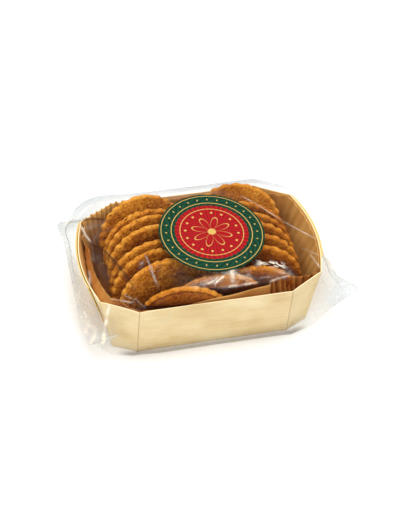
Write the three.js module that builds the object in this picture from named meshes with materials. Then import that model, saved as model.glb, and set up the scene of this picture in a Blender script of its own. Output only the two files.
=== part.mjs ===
// A pack of fluted butter biscuits: an octagonal tray of bent poplar veneer, a pleated paper liner,
// two rows of biscuits that stand on edge, a clear film bag drawn over them and a round sticker.
// Millimetres, +Z up. The origin is under the middle of the tray, +X runs along the tray and
// the front is towards -Y.

import * as THREE from 'three';

const { clamp, lerp, degToRad, smoothstep, seededRandom } = THREE.MathUtils;

// Driving dimensions

const TRAY = {
  length: 170,
  width: 123,
  height: 50,
  cut: { x: 26.9, y: 16.6 },
  baseLength: 152.6,
  baseWidth: 107,
  baseCut: { x: 17.8, y: 9.4 },
  wall: 1.0,
  floor: 1.2,
  endBow: 8,
  gap: 0.3,
};

const LAP = {
  thickness: 0.8,
  gap: 0.6,
  spring: 1.6,
  foot: 0.06,
  from: -0.97,
  to: 0.62,
};

const LINER = {
  thickness: 0.4,
  gap: 0.55,
  rise: 0.975,
  pleat: 1.7,
  flatPleat: 0.25,
  footFold: 0.5,
  pleatsFrom: 38,
  pleatsTo: 64,
};

const BISCUIT = {
  halfWidth: 36,
  halfHeight: 33,
  thickness: 6,
  flutes: 24,
  fluteDepth: 0.6,
  unevenness: 0.012,
  clearance: 0.7,
  seed: 11,
};

// Half section of a biscuit: shares of the radius and of the half thickness, from the under side up
const BISCUIT_PROFILE = [
  { reach: 0, height: -1 },
  { reach: 0.95, height: -1 },
  { reach: 1, height: -0.2 },
  { reach: 0.965, height: 0.7 },
  { reach: 0, height: 1 },
];

const FILM = {
  gauge: 0.45,
  clearance: 0.4,
  wallGap: 0.5,
  lapGap: 1.2,
  backLift: 3.5,
  backBulge: 2,
  backFrom: 40,
  backTo: 58,
  finSpread: 0.14,
  finEarPower: 4,
  finWave: 1.6,
  finWaves: 5,
  finFrom: 58,
  finTo: 78,
  hollowShare: 0.86,
  hollowEnd: 0.42,
  footHeight: 0.3,
};

// The sealed fins at the two ends: reach and height in the middle, how far the corners stick out beyond
// that, and how much higher the back of the fin is than its middle
const FINS = {
  left: { reach: 99, earBack: 10, earFront: 0, height: 28, rise: 12 },
  right: { reach: 100, earBack: 2, earFront: 34, height: 28, rise: 2 },
};

// Loose film that spreads on the ground at the front left corner: from where, how wide and which way
const GUSSET = { x: -67, y: -49, width: 12, outX: -10, outY: -5, sharpness: 3 };

// Steps of the film's side, from the rim down: how far down the wall, and how far out to the end fin
const FILM_SIDE = [
  { down: 0, out: 0 },
  { down: 0.22, out: 0.22 },
  { down: 0.43, out: 0.5 },
  { down: 0.46, out: 1 },
  { down: 0.49, out: 0.5 },
  { down: 0.75, out: 0.2 },
  { down: 1, out: 0 },
];

// Rings of the film's top, as shares of the way from the sticker's middle to the rim
const FILM_RINGS = [0.97, 0.92, 0.85, 0.77, 0.69, 0.61, 0.53, 0.45, 0.36, 0.27, 0.18, 0.09];

// The grid on which the film's top is drawn taut, and how far a biscuit's points hold it up
const FILM_GRID = { halfX: 100, halfY: 70, cell: 2, spread: 5, sweeps: 400 };

const LABEL = {
  radius: 40,
  thickness: 0.3,
  gap: 0.3,
  sides: 48,
  centre: { x: 6.9, y: -9.9 },
  slope: { x: -0.041, y: 0.061 },
};

// How each biscuit stands: x of its middle, y of its foot, lean back and turn in degrees
const LEFT_ROW = [
  { x: -35.5, foot: 27.2, lean: 18, turn: 7 },
  { x: -36, foot: 16.2, lean: 11, turn: 10 },
  { x: -35, foot: 9, lean: 11, turn: 10 },
  { x: -35.5, foot: -2, lean: 11, turn: 10 },
  { x: -37, foot: -18, lean: 10, turn: 11 },
  { x: -38, foot: -27, lean: 9.5, turn: 13 },
  { x: -34.5, foot: -34.8, lean: 5, turn: 14 },
];
const RIGHT_ROW = [
  { x: 36, foot: 24, lean: 24, turn: -12 },
  { x: 37, foot: 8.5, lean: 14, turn: -10 },
  { x: 38, foot: -4, lean: 14, turn: -8 },
  { x: 38, foot: -14, lean: 13, turn: -9 },
  { x: 38.5, foot: -25.5, lean: 11, turn: -7 },
  { x: 38, foot: -32.6, lean: 5, turn: -7 },
  { x: 32, foot: -39, lean: -6, turn: -4, size: 0.95 },
];
const FRONT_PAIR = [
  { x: -22, foot: -46.6, lean: -8.5, turn: -5, size: 0.93 },
  { x: 6, foot: -43, lean: -6.5, turn: -6, size: 0.97 },
];

// Colours seen in the photograph
const VENEER = { color: 0xe6d3a3, roughness: 0.65 };
const VENEER_LAP = { color: 0xdcb766, roughness: 0.6 };
const PAPER = { color: 0x8a5a2c, roughness: 0.5 };
const CRUST = { color: 0xc07a2c, roughness: 0.8 };
const CLEAR_FILM = { color: 0xf4f4f2, roughness: 0.1, opacity: 0.25, transparent: true };
const STICKER = { color: 0x0f5138, roughness: 0.45 };

// Points per side of the tray's outline: long side, cut corner and end
const COARSE = { long: 12, cut: 3, end: 8 };
const PLEATED = { long: 20, cut: 8, end: 16 };

// Levels of the rows of points up a wall, from the base to the rim
const WALL_LEVELS = [0, 0.25, 0.5, 0.75, 1];

const biscuitFloor = TRAY.floor + TRAY.gap + LINER.thickness + TRAY.gap;

// Outlines of the tray

/** Half sizes and corner cuts of the tray's outside, at a level from 0 at the base to 1 at the rim. */
function traySection(level, offset) {
  const halfX = lerp(TRAY.baseLength, TRAY.length, level) / 2;
  const halfY = lerp(TRAY.baseWidth, TRAY.width, level) / 2;
  const cutX = lerp(TRAY.baseCut.x, TRAY.cut.x, level);
  const cutY = lerp(TRAY.baseCut.y, TRAY.cut.y, level);
  const reach = cutY * halfX + cutX * (halfY - cutY) + offset * Math.hypot(cutX, cutY);
  const outX = halfX + offset;
  const outY = halfY + offset;
  return {
    halfX: outX,
    halfY: outY,
    cutX: outX - (reach - cutX * outY) / cutY,
    cutY: outY - (reach - cutY * outX) / cutX,
  };
}

/** A point of an end wall: s runs from -1 at the back corner to 1 at the front one. */
function endPoint(side, s, level, offset, spring = 0) {
  const { halfX, halfY, cutY } = traySection(level, offset);
  const bow = (TRAY.endBow + spring) * level * (1 - s * s);
  return new THREE.Vector2(side * (halfX + bow), -s * (halfY - cutY));
}

/** The tray's closed outline, counter-clockwise from the front left corner, with bowed ends. */
function trayOutline(level, offset, steps) {
  const { halfX, halfY, cutX, cutY } = traySection(level, offset);
  const longX = halfX - cutX;
  const endY = halfY - cutY;
  const straight = (from, to, count) => Array.from({ length: count }, (_, i) =>
    new THREE.Vector2(lerp(from[0], to[0], i / count), lerp(from[1], to[1], i / count)));
  const bowed = (side) => Array.from({ length: steps.end }, (_, i) =>
    endPoint(side, side * (1 - (2 * i) / steps.end), level, offset));
  return [
    ...straight([-longX, -halfY], [longX, -halfY], steps.long),
    ...straight([longX, -halfY], [halfX, -endY], steps.cut),
    ...bowed(1),
    ...straight([halfX, endY], [longX, halfY], steps.cut),
    ...straight([longX, halfY], [-longX, halfY], steps.long),
    ...straight([-longX, halfY], [-halfX, endY], steps.cut),
    ...bowed(-1),
    ...straight([-halfX, -endY], [-longX, -halfY], steps.cut),
  ];
}

/** Lifts a plan outline to a height. */
function atHeight(outline, z) {
  return outline.map((p) => new THREE.Vector3(p.x, p.y, z));
}

// Closed bodies from rows of points

/** Triangles between neighbouring rows of points; a row of one point is a pole. */
function weave(rows, closed) {
  const triangles = [];
  const push = (a, b, c) => triangles.push(a, b, c);
  for (let r = 0; r + 1 < rows.length; r += 1) {
    const low = rows[r];
    const high = rows[r + 1];
    const count = Math.max(low.length, high.length);
    const last = closed ? count : count - 1;
    for (let i = 0; i < last; i += 1) {
      const j = (i + 1) % count;
      if (low.length === 1) {
        push(low[0], high[j], high[i]);
      } else if (high.length === 1) {
        push(low[i], low[j], high[0]);
      } else {
        push(low[i], low[j], high[j]);
        push(low[i], high[j], high[i]);
      }
    }
  }
  return triangles;
}

/** A geometry from loose triangles given as points. */
function fromTriangles(points) {
  const geometry = new THREE.BufferGeometry();
  geometry.setFromPoints(points);
  geometry.computeVertexNormals();
  return geometry;
}

/** A ring or a cup of thin wall: rows run up the outside and back down the inside. */
function loopedShell(rows) {
  return fromTriangles(weave(rows, true));
}

/** A thin curved sheet: the outer and the inner grid of points, joined along the four edges. */
function sheet(outer, inner) {
  const rows = outer.map((row, r) => [...row, ...[...inner[r]].reverse()]);
  const skin = weave(rows, true);
  const cap = (face, flip) => {
    const half = face.length / 2;
    const front = face.slice(0, half);
    const back = face.slice(half).reverse();
    return weave(flip ? [back, front] : [front, back], false);
  };
  return fromTriangles([...skin, ...cap(rows[0], true), ...cap(rows.at(-1), false)]);
}

// Tray

function trayBase() {
  const outline = trayOutline(0, -TRAY.wall - TRAY.gap, COARSE);
  const geometry = new THREE.ExtrudeGeometry(new THREE.Shape(outline), {
    depth: TRAY.floor,
    bevelEnabled: false,
  });
  return { tray_base: [geometry, VENEER] };
}

function trayBand() {
  const face = (offset) => WALL_LEVELS.map((level) =>
    atHeight(trayOutline(level, offset, COARSE), level * TRAY.height));
  const outside = face(0);
  const inside = face(-TRAY.wall).reverse();
  return { tray_band: [loopedShell([...outside, ...inside, outside[0]]), VENEER] };
}

/** The second layer of veneer at an end, sprung away from the wall towards the rim. */
function trayLap(side) {
  const levels = [LAP.foot, ...WALL_LEVELS.slice(1)];
  const steps = COARSE.end;
  const grid = (offset) => levels.map((level) => Array.from({ length: steps + 1 }, (_, i) => {
    const s = lerp(LAP.from, LAP.to, i / steps);
    const p = endPoint(side, s, level, offset, LAP.spring);
    return new THREE.Vector3(p.x, p.y, level * TRAY.height);
  }));
  const near = grid(LAP.gap);
  const far = grid(LAP.gap + LAP.thickness);
  const geometry = side > 0 ? sheet(near, far) : sheet(far, near);
  return { [side > 0 ? 'tray_lap_right' : 'tray_lap_left']: [geometry, VENEER_LAP] };
}

// Liner

/** Depth of the paper's pleats: deep at the corners and the ends, slight along the long sides. */
function pleatDepth(x) {
  const atEnds = smoothstep(Math.abs(x), LINER.pleatsFrom, LINER.pleatsTo);
  return lerp(LINER.flatPleat, LINER.pleat, atEnds);
}

/** A pleated outline inside the wall: every second point is drawn in by the depth of a pleat. */
function pleatedOutline(level, inset, fold) {
  const wall = trayOutline(level, -inset, PLEATED);
  const drawnIn = trayOutline(level, -inset - 1, PLEATED);
  return wall.map((p, i) => p.clone().lerp(drawnIn[i], (i % 2) * fold * pleatDepth(p.x)));
}

function liner() {
  const floorZ = TRAY.floor + TRAY.gap;
  const face = (inset, footZ) => {
    const levels = [footZ / TRAY.height, ...WALL_LEVELS.slice(1, -1), LINER.rise];
    const loops = levels.map((level) =>
      atHeight(pleatedOutline(level, inset, lerp(LINER.footFold, 1, level)), level * TRAY.height));
    return [[new THREE.Vector3(0, 0, footZ)], ...loops];
  };
  const inset = TRAY.wall + LINER.gap;
  const outside = face(inset, floorZ);
  const inside = face(inset + LINER.thickness, floorZ + LINER.thickness).reverse();
  return { liner: [loopedShell([...outside, ...inside]), PAPER] };
}

// Biscuits

/** A fluted disc, a little oval, with a rounded edge and a faint crown; its top faces +Z. */
function biscuitGeometry(size, flutePhase) {
  const { halfWidth, halfHeight, thickness, flutes, fluteDepth } = BISCUIT;
  const profile = BISCUIT_PROFILE.map(({ reach, height }) =>
    new THREE.Vector2(reach, (height * thickness) / 2));
  const geometry = new THREE.LatheGeometry(profile, 2 * flutes).rotateX(Math.PI / 2);
  const position = geometry.attributes.position;
  const step = Math.PI / flutes;
  for (let i = 0; i < position.count; i += 1) {
    const angle = Math.atan2(position.getY(i), position.getX(i));
    const crest = Math.round(angle / step) % 2 === 0 ? 1 : -1;
    const reach = size * (1 + (crest * fluteDepth) / halfWidth);
    const turned = angle + flutePhase * step;
    const radius = Math.hypot(position.getX(i), position.getY(i)) * reach;
    position.setXY(i, radius * halfWidth * Math.cos(turned), radius * halfHeight * Math.sin(turned));
  }
  geometry.computeVertexNormals();
  return geometry;
}

/** Stands a biscuit on the liner's floor, leaning back and turned a little. */
function standBiscuit(mesh, { x, foot, lean, turn, size = 1 }) {
  const slope = degToRad(lean);
  const yaw = degToRad(turn);
  const reach = BISCUIT.halfHeight * size + BISCUIT.fluteDepth;
  const sunk = (BISCUIT.thickness / 2) * Math.abs(Math.sin(slope));
  mesh.rotation.set(Math.PI / 2 - slope, 0, yaw, 'ZXY');
  mesh.position.set(
    x - reach * Math.sin(slope) * Math.sin(yaw),
    foot + reach * Math.sin(slope) * Math.cos(yaw),
    biscuitFloor + reach * Math.cos(slope) + sunk,
  );
}

function biscuitRow(name, stands) {
  return stands.map((stand, i) => {
    const size = (stand.size ?? 1) * (1 - BISCUIT.unevenness * seededRandom());
    const mesh = makeMesh(`${name}_${i + 1}`, biscuitGeometry(size, seededRandom()), CRUST);
    standBiscuit(mesh, { ...stand, size });
    mesh.updateMatrixWorld(true);
    return mesh;
  });
}

// Film

/** Heights over the plan of the pack, on a square grid of cells. */
class HeightGrid {
  constructor({ halfX, halfY, cell }) {
    this.halfX = halfX;
    this.halfY = halfY;
    this.cell = cell;
    this.columns = Math.round((2 * halfX) / cell) + 1;
    this.rows = Math.round((2 * halfY) / cell) + 1;
    this.heights = new Float64Array(this.columns * this.rows);
  }

  index(column, row) {
    return row * this.columns + column;
  }

  plan(column, row) {
    return new THREE.Vector2(column * this.cell - this.halfX, row * this.cell - this.halfY);
  }

  /** Raises every cell within a reach of a point to its height. */
  raise(point, reach) {
    const column = (point.x + this.halfX) / this.cell;
    const row = (point.y + this.halfY) / this.cell;
    const span = reach / this.cell;
    for (let r = Math.ceil(row - span); r <= row + span; r += 1) {
      for (let c = Math.ceil(column - span); c <= column + span; c += 1) {
        const k = this.index(c, r);
        this.heights[k] = Math.max(this.heights[k], point.z);
      }
    }
  }

  /** The height at a plan point, between the four cells round it. */
  sample(x, y) {
    const column = clamp((x + this.halfX) / this.cell, 0, this.columns - 1);
    const row = clamp((y + this.halfY) / this.cell, 0, this.rows - 1);
    const c = Math.min(Math.floor(column), this.columns - 2);
    const r = Math.min(Math.floor(row), this.rows - 2);
    const along = (line) =>
      lerp(this.heights[this.index(c, line)], this.heights[this.index(c + 1, line)], column - c);
    return lerp(along(r), along(r + 1), row - r);
  }
}

/** Whether a plan point is inside a closed outline, by counting the edges to its right. */
function insideOutline(point, outline) {
  let inside = false;
  outline.forEach((a, i) => {
    const b = outline[(i + 1) % outline.length];
    const crosses = a.y > point.y !== b.y > point.y;
    if (crosses && point.x < a.x + ((b.x - a.x) * (point.y - a.y)) / (b.y - a.y)) inside = !inside;
  });
  return inside;
}

/** Points spread over a mesh: the corners and the middles of its triangles' edges, in the world. */
function surfacePoints(mesh) {
  const loose = mesh.geometry.index ? mesh.geometry.toNonIndexed() : mesh.geometry;
  const corners = loose.attributes.position;
  const points = [];
  const corner = (i) => new THREE.Vector3().fromBufferAttribute(corners, i).applyMatrix4(mesh.matrixWorld);
  for (let i = 0; i < corners.count; i += 3) {
    const [a, b, c] = [corner(i), corner(i + 1), corner(i + 2)];
    points.push(a, a.clone().lerp(b, 0.5), b.clone().lerp(c, 0.5), c.clone().lerp(a, 0.5));
  }
  return points;
}

/** How much the film stands up off the rim, from 0 at the front to 1 along the back. */
function looseBack(y) {
  return smoothstep(y, FILM.backFrom, FILM.backTo);
}

/** Height of the film's outside over the rim. */
function filmRim(y) {
  return TRAY.height + FILM.clearance + FILM.gauge + FILM.backLift * looseBack(y);
}

/** How much higher a plan point is than the sticker's middle, on the sticker's slope. */
function labelSlope({ x, y }) {
  return LABEL.slope.x * (x - LABEL.centre.x) + LABEL.slope.y * (y - LABEL.centre.y);
}

/** The film's outer top: a skin drawn taut over the biscuits, the rim and a flat place for the sticker. */
function tautTop(biscuits) {
  const { spread, sweeps } = FILM_GRID;
  const overBiscuits = BISCUIT.clearance + FILM.gauge;
  const underLabel = (p) => p.distanceTo(LABEL.centre) < LABEL.radius + spread;
  const rests = new HeightGrid(FILM_GRID);
  const points = biscuits.flatMap(surfacePoints);
  points.forEach((point) => rests.raise(point, spread));
  const held = points.filter((point) => underLabel(new THREE.Vector2(point.x, point.y)));
  const slack = spread * (Math.abs(LABEL.slope.x) + Math.abs(LABEL.slope.y));
  const crest = held.reduce((a, p) => Math.max(a, p.z - labelSlope(p)), 0) + slack + overBiscuits;
  const rim = trayOutline(1, -TRAY.wall, COARSE);
  const top = new HeightGrid(FILM_GRID);
  const inside = [];
  for (let r = 0; r < top.rows; r += 1) {
    for (let c = 0; c < top.columns; c += 1) {
      const k = top.index(c, r);
      const plan = top.plan(c, r);
      rests.heights[k] = underLabel(plan) ? crest + labelSlope(plan) : rests.heights[k] + overBiscuits;
      top.heights[k] = filmRim(plan.y);
      if (insideOutline(plan, rim)) inside.push(k);
    }
  }
  for (let sweep = 0; sweep < sweeps; sweep += 1) {
    inside.forEach((k) => {
      const round = [k - 1, k + 1, k - top.columns, k + top.columns];
      const mean = round.reduce((sum, n) => sum + top.heights[n], 0) / round.length;
      top.heights[k] = Math.max(mean, rests.heights[k]);
    });
  }
  return { top, crest };
}

/** The edge of an end fin beside a point of the wall: how far out it is and how high. */
function finEdge({ x, y }) {
  const fin = x < 0 ? FINS.left : FINS.right;
  const back = y / (TRAY.width / 2);
  const ear = (back > 0 ? fin.earBack : fin.earFront) * Math.abs(back) ** FILM.finEarPower;
  const wave = FILM.finWave * Math.sin(FILM.finWaves * back * Math.PI);
  return { reach: Math.sign(x) * (fin.reach + ear), height: fin.height + fin.rise * back + wave };
}

/** One loop of the film's side: it follows the wall, and runs out to the sealed fin at both ends. */
function filmSideLoop({ down, out }, inset) {
  const gap = FILM.wallGap + FILM.gauge - inset;
  const share = inset > 0 ? Math.min(out * FILM.hollowShare, FILM.hollowEnd) : out;
  const base = trayOutline(0, gap, COARSE);
  return trayOutline(1, gap, COARSE).map((rim, i) => {
    const z = lerp(filmRim(rim.y) - inset, FILM.footHeight, down);
    const level = Math.min(1, z / TRAY.height);
    const p = base[i].clone().lerp(rim, level);
    const atEnd = smoothstep(Math.abs(p.x), FILM.finFrom, FILM.finTo);
    const clearOfLap = Math.sign(p.x) * atEnd * (LAP.thickness + FILM.lapGap + LAP.spring * level);
    const bulge = FILM.backBulge * looseBack(rim.y) * level;
    const loose = down ** GUSSET.sharpness
      * Math.exp(-(((p.x - GUSSET.x) / GUSSET.width) ** 2) - ((p.y - GUSSET.y) / GUSSET.width) ** 2);
    const edge = finEdge(p);
    const fin = share * atEnd;
    return new THREE.Vector3(
      lerp(p.x + clearOfLap, edge.reach, fin) + GUSSET.outX * loose,
      (p.y + bulge) * (1 + FILM.finSpread * fin) + GUSSET.outY * loose,
      lerp(z, edge.height, fin),
    );
  });
}

/** One loop of the film's top: the rim's outline drawn in towards the sticker. */
function filmTopLoop(top, share, inset) {
  const rim = filmSideLoop(FILM_SIDE[0], inset);
  const { x, y } = LABEL.centre;
  return rim.map((p) => {
    const px = lerp(x, p.x, share);
    const py = lerp(y, p.y, share);
    return new THREE.Vector3(px, py, top.sample(px, py) - inset);
  });
}

function filmBag(top) {
  const half = (inset) => [
    ...[...FILM_SIDE].reverse().map((step) => filmSideLoop(step, inset)),
    ...FILM_RINGS.map((share) => filmTopLoop(top, share, inset)),
    [new THREE.Vector3(LABEL.centre.x, LABEL.centre.y, top.sample(LABEL.centre.x, LABEL.centre.y) - inset)],
  ];
  const outer = half(0);
  const inner = half(FILM.gauge);
  const triangles = [
    ...weave(outer, true),
    ...weave([...inner].reverse(), true),
    ...weave([inner[0], outer[0]], true),
  ];
  return { film: [fromTriangles(triangles), CLEAR_FILM] };
}

function label(crest) {
  const { radius, thickness, gap, sides, centre, slope } = LABEL;
  const geometry = new THREE.CylinderGeometry(radius, radius, thickness, sides).rotateX(Math.PI / 2);
  const normal = new THREE.Vector3(-slope.x, -slope.y, 1).normalize();
  geometry.applyQuaternion(new THREE.Quaternion().setFromUnitVectors(new THREE.Vector3(0, 0, 1), normal));
  geometry.translate(centre.x, centre.y, crest + gap + thickness / 2);
  return { label: [geometry, STICKER] };
}

// Assembly

function makeMesh(name, geometry, finish) {
  const mesh = new THREE.Mesh(geometry, new THREE.MeshStandardMaterial({ metalness: 0, ...finish }));
  mesh.name = name;
  return mesh;
}

function meshesOf(pieces) {
  return Object.entries(pieces).map(([name, [geometry, finish]]) => makeMesh(name, geometry, finish));
}

function buildPack() {
  seededRandom(BISCUIT.seed);
  const biscuits = [
    ...biscuitRow('biscuit_left', LEFT_ROW),
    ...biscuitRow('biscuit_right', RIGHT_ROW),
    ...biscuitRow('biscuit_front', FRONT_PAIR),
  ];
  const { top, crest } = tautTop(biscuits);
  const pack = new THREE.Group();
  const shells = { ...trayBase(), ...trayBand(), ...trayLap(-1), ...trayLap(1), ...liner() };
  pack.add(...meshesOf({ ...shells, ...filmBag(top), ...label(crest) }), ...biscuits);
  return pack;
}

export default buildPack();
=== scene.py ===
"""Dresses the pack of butter biscuits: veneer tray, pleated liner, biscuits, film bag and sticker.

Lengths are in metres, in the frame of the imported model: +Z is up, +X runs along the tray and the front
wall faces -Y. Each sub-assembly is a class whose fields are its sizes. A Span is where a smooth step is
0 and where it is 1.
"""

import logging
import math
from dataclasses import dataclass, field
from enum import Enum
from functools import reduce
from itertools import product
from typing import Union

import bpy
import numpy as np
from bpy.types import ID, Material, Mesh, Node, NodeSocket, NodeTree, Object
from mathutils import Matrix, Vector


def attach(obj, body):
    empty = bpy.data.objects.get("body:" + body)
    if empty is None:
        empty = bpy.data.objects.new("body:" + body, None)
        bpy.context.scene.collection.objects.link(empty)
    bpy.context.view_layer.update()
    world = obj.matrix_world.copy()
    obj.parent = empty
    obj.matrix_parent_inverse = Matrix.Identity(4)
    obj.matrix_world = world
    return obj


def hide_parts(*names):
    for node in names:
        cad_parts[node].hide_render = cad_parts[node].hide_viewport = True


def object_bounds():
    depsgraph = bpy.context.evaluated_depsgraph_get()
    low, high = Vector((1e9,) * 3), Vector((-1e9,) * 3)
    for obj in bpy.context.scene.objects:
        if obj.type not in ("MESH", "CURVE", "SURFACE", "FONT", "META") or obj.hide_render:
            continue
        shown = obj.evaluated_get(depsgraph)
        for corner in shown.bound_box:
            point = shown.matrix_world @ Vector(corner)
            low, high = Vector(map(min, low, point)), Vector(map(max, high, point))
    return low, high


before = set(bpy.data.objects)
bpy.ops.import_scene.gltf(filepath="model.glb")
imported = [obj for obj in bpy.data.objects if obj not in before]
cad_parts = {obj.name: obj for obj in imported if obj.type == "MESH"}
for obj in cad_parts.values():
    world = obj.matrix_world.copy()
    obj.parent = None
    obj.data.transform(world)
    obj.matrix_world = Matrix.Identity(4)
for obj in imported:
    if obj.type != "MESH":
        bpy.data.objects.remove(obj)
CAD_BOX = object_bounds()

Array = np.ndarray
Colour = tuple[float, float, float, float]
Place = tuple[float, float, float]
Pair = tuple[float, float]
Span = tuple[float, float]
Run = tuple[float, float, int]

MM = 0.001
RIM_LEVEL = np.array([1.0])
LATTICE_PRIMES = np.array([73856093, 19349663, 83492791], dtype=np.int64)
SEED_PRIME = 40503
MIXING = ((13, 1274126177), (16, 668265263), (15, 374761393))
WORD_BITS = 0xFFFFFFFF
UNIT_BITS = 0xFFFFFF
log = logging.getLogger("biscuit_pack")


# Numbers over a surface


def smooth(low: float, high: float, x: Array) -> Array:
    """A smooth step: 0 at low, 1 at high, with a level start and end; low may be the larger one."""
    t = np.clip((x - low) / (high - low), 0.0, 1.0)
    return t * t * (3.0 - 2.0 * t)


def bump(x: Array, centre: float, width: float) -> Array:
    """A bell of height 1 round a centre: the exponential of minus the squared distance in widths."""
    return np.exp(-(((x - centre) / width) ** 2))


def blend(a: Array, b: Array, share: Array) -> Array:
    """The point a share of the way from a to b."""
    return a + (b - a) * share


def triangle_wave(x: Array) -> Array:
    """A zigzag of period 1, from 0 at whole numbers up to 1 half way between them."""
    return 1.0 - np.abs(2.0 * (x - np.floor(x)) - 1.0)


def full_turn(count: int) -> Array:
    """The angles of a whole turn in so many equal steps, as one row."""
    return np.linspace(0.0, 2.0 * np.pi, count, endpoint=False)[None, :]


def even_runs(*runs: Run) -> Array:
    """Runs of evenly spaced numbers, one after the other; each has a first, a last and a count."""
    return np.concatenate([np.linspace(*run) for run in runs])


def spread(*parts: Array) -> Array:
    """Several numbers for each point, side by side on a last axis, after they are stretched to fit."""
    return np.stack(np.broadcast_arrays(*parts), axis=-1)


def lifted(plan: Array, heights: Array) -> Array:
    """Plan points at heights, which are stretched to fit."""
    return np.concatenate([plan, np.broadcast_to(heights, plan.shape[:-1])[..., None]], axis=-1)


def hash_unit(cells: Array, seed: int) -> Array:
    """A random number from 0 to 1 for each cell of a lattice, mixed from its three whole numbers.

    Args:
        cells: whole numbers, three on the last axis.
        seed: picks the random numbers.

    Returns:
        One number for each cell.
    """
    mixed = (cells.astype(np.int64) * LATTICE_PRIMES).sum(axis=-1) + seed * SEED_PRIME
    for shift, prime in MIXING:
        mixed = ((mixed ^ (mixed >> shift)) * prime) & WORD_BITS
    return (mixed & UNIT_BITS) / float(UNIT_BITS + 1)


def noise(points: Array, cell: float, seed: int) -> Array:
    """Smooth noise from -1 to 1: random numbers at the corners of cubes, blended by a quintic step.

    Args:
        points: places, three numbers on the last axis.
        cell: length of a cube's side.
        seed: picks the random numbers.

    Returns:
        One number for each point.
    """
    scaled = points / cell
    base = np.floor(scaled)
    part = scaled - base
    step = part**3 * (part * (6.0 * part - 15.0) + 10.0)
    total = np.zeros(points.shape[:-1])
    for corner in product((0, 1), repeat=3):
        share = np.prod(np.where(np.array(corner) == 1, step, 1.0 - step), axis=-1)
        total += share * hash_unit(base + np.array(corner), seed)
    return 2.0 * total - 1.0


def unit_noise(points: Array, cell: float, seed: int) -> Array:
    """The same noise, but from 0 to 1."""
    return 0.5 + 0.5 * noise(points, cell, seed)


def fractal(points: Array, cell: float, octaves: int, seed: int) -> Array:
    """A sum of noises, each of half the cell and half the height of the one before."""
    parts = [noise(points, cell / 2**k, seed + k) / 2**k for k in range(octaves)]
    return np.sum(parts, axis=0)


def row_normals(points: Array) -> Array:
    """Unit normals of closed rows of points: the step along a row crossed with the step to the next row.

    Args:
        points: an array of the shape (rows, columns, 3).

    Returns:
        One normal for each point.
    """
    along = np.roll(points, -1, axis=1) - np.roll(points, 1, axis=1)
    crossing = np.cross(along, np.gradient(points, axis=0))
    return crossing / np.maximum(np.linalg.norm(crossing, axis=-1, keepdims=True), 1e-12)


def nearest_spot(points: Array, cell: float, seed: int) -> tuple[Array, Array]:
    """How far the nearest spot is, where each cube of a lattice holds one spot at a random place.

    Args:
        points: places, three numbers on the last axis.
        cell: length of a cube's side.
        seed: picks the random places.

    Returns:
        The distance in cells, and the nearest spot's own random number from 0 to 1.
    """
    scaled = points / cell
    base = np.floor(scaled)
    best = np.full(points.shape[:-1], np.inf)
    own = np.zeros(points.shape[:-1])
    for corner in product((-1, 0, 1), repeat=3):
        home = base + np.array(corner)
        place = spread(*[hash_unit(home, seed + k) for k in range(3)])
        distance = np.linalg.norm(scaled - home - place, axis=-1)
        own = np.where(distance < best, hash_unit(home, seed + 3), own)
        best = np.minimum(best, distance)
    return best, own


# Meshes from grids of points


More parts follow.
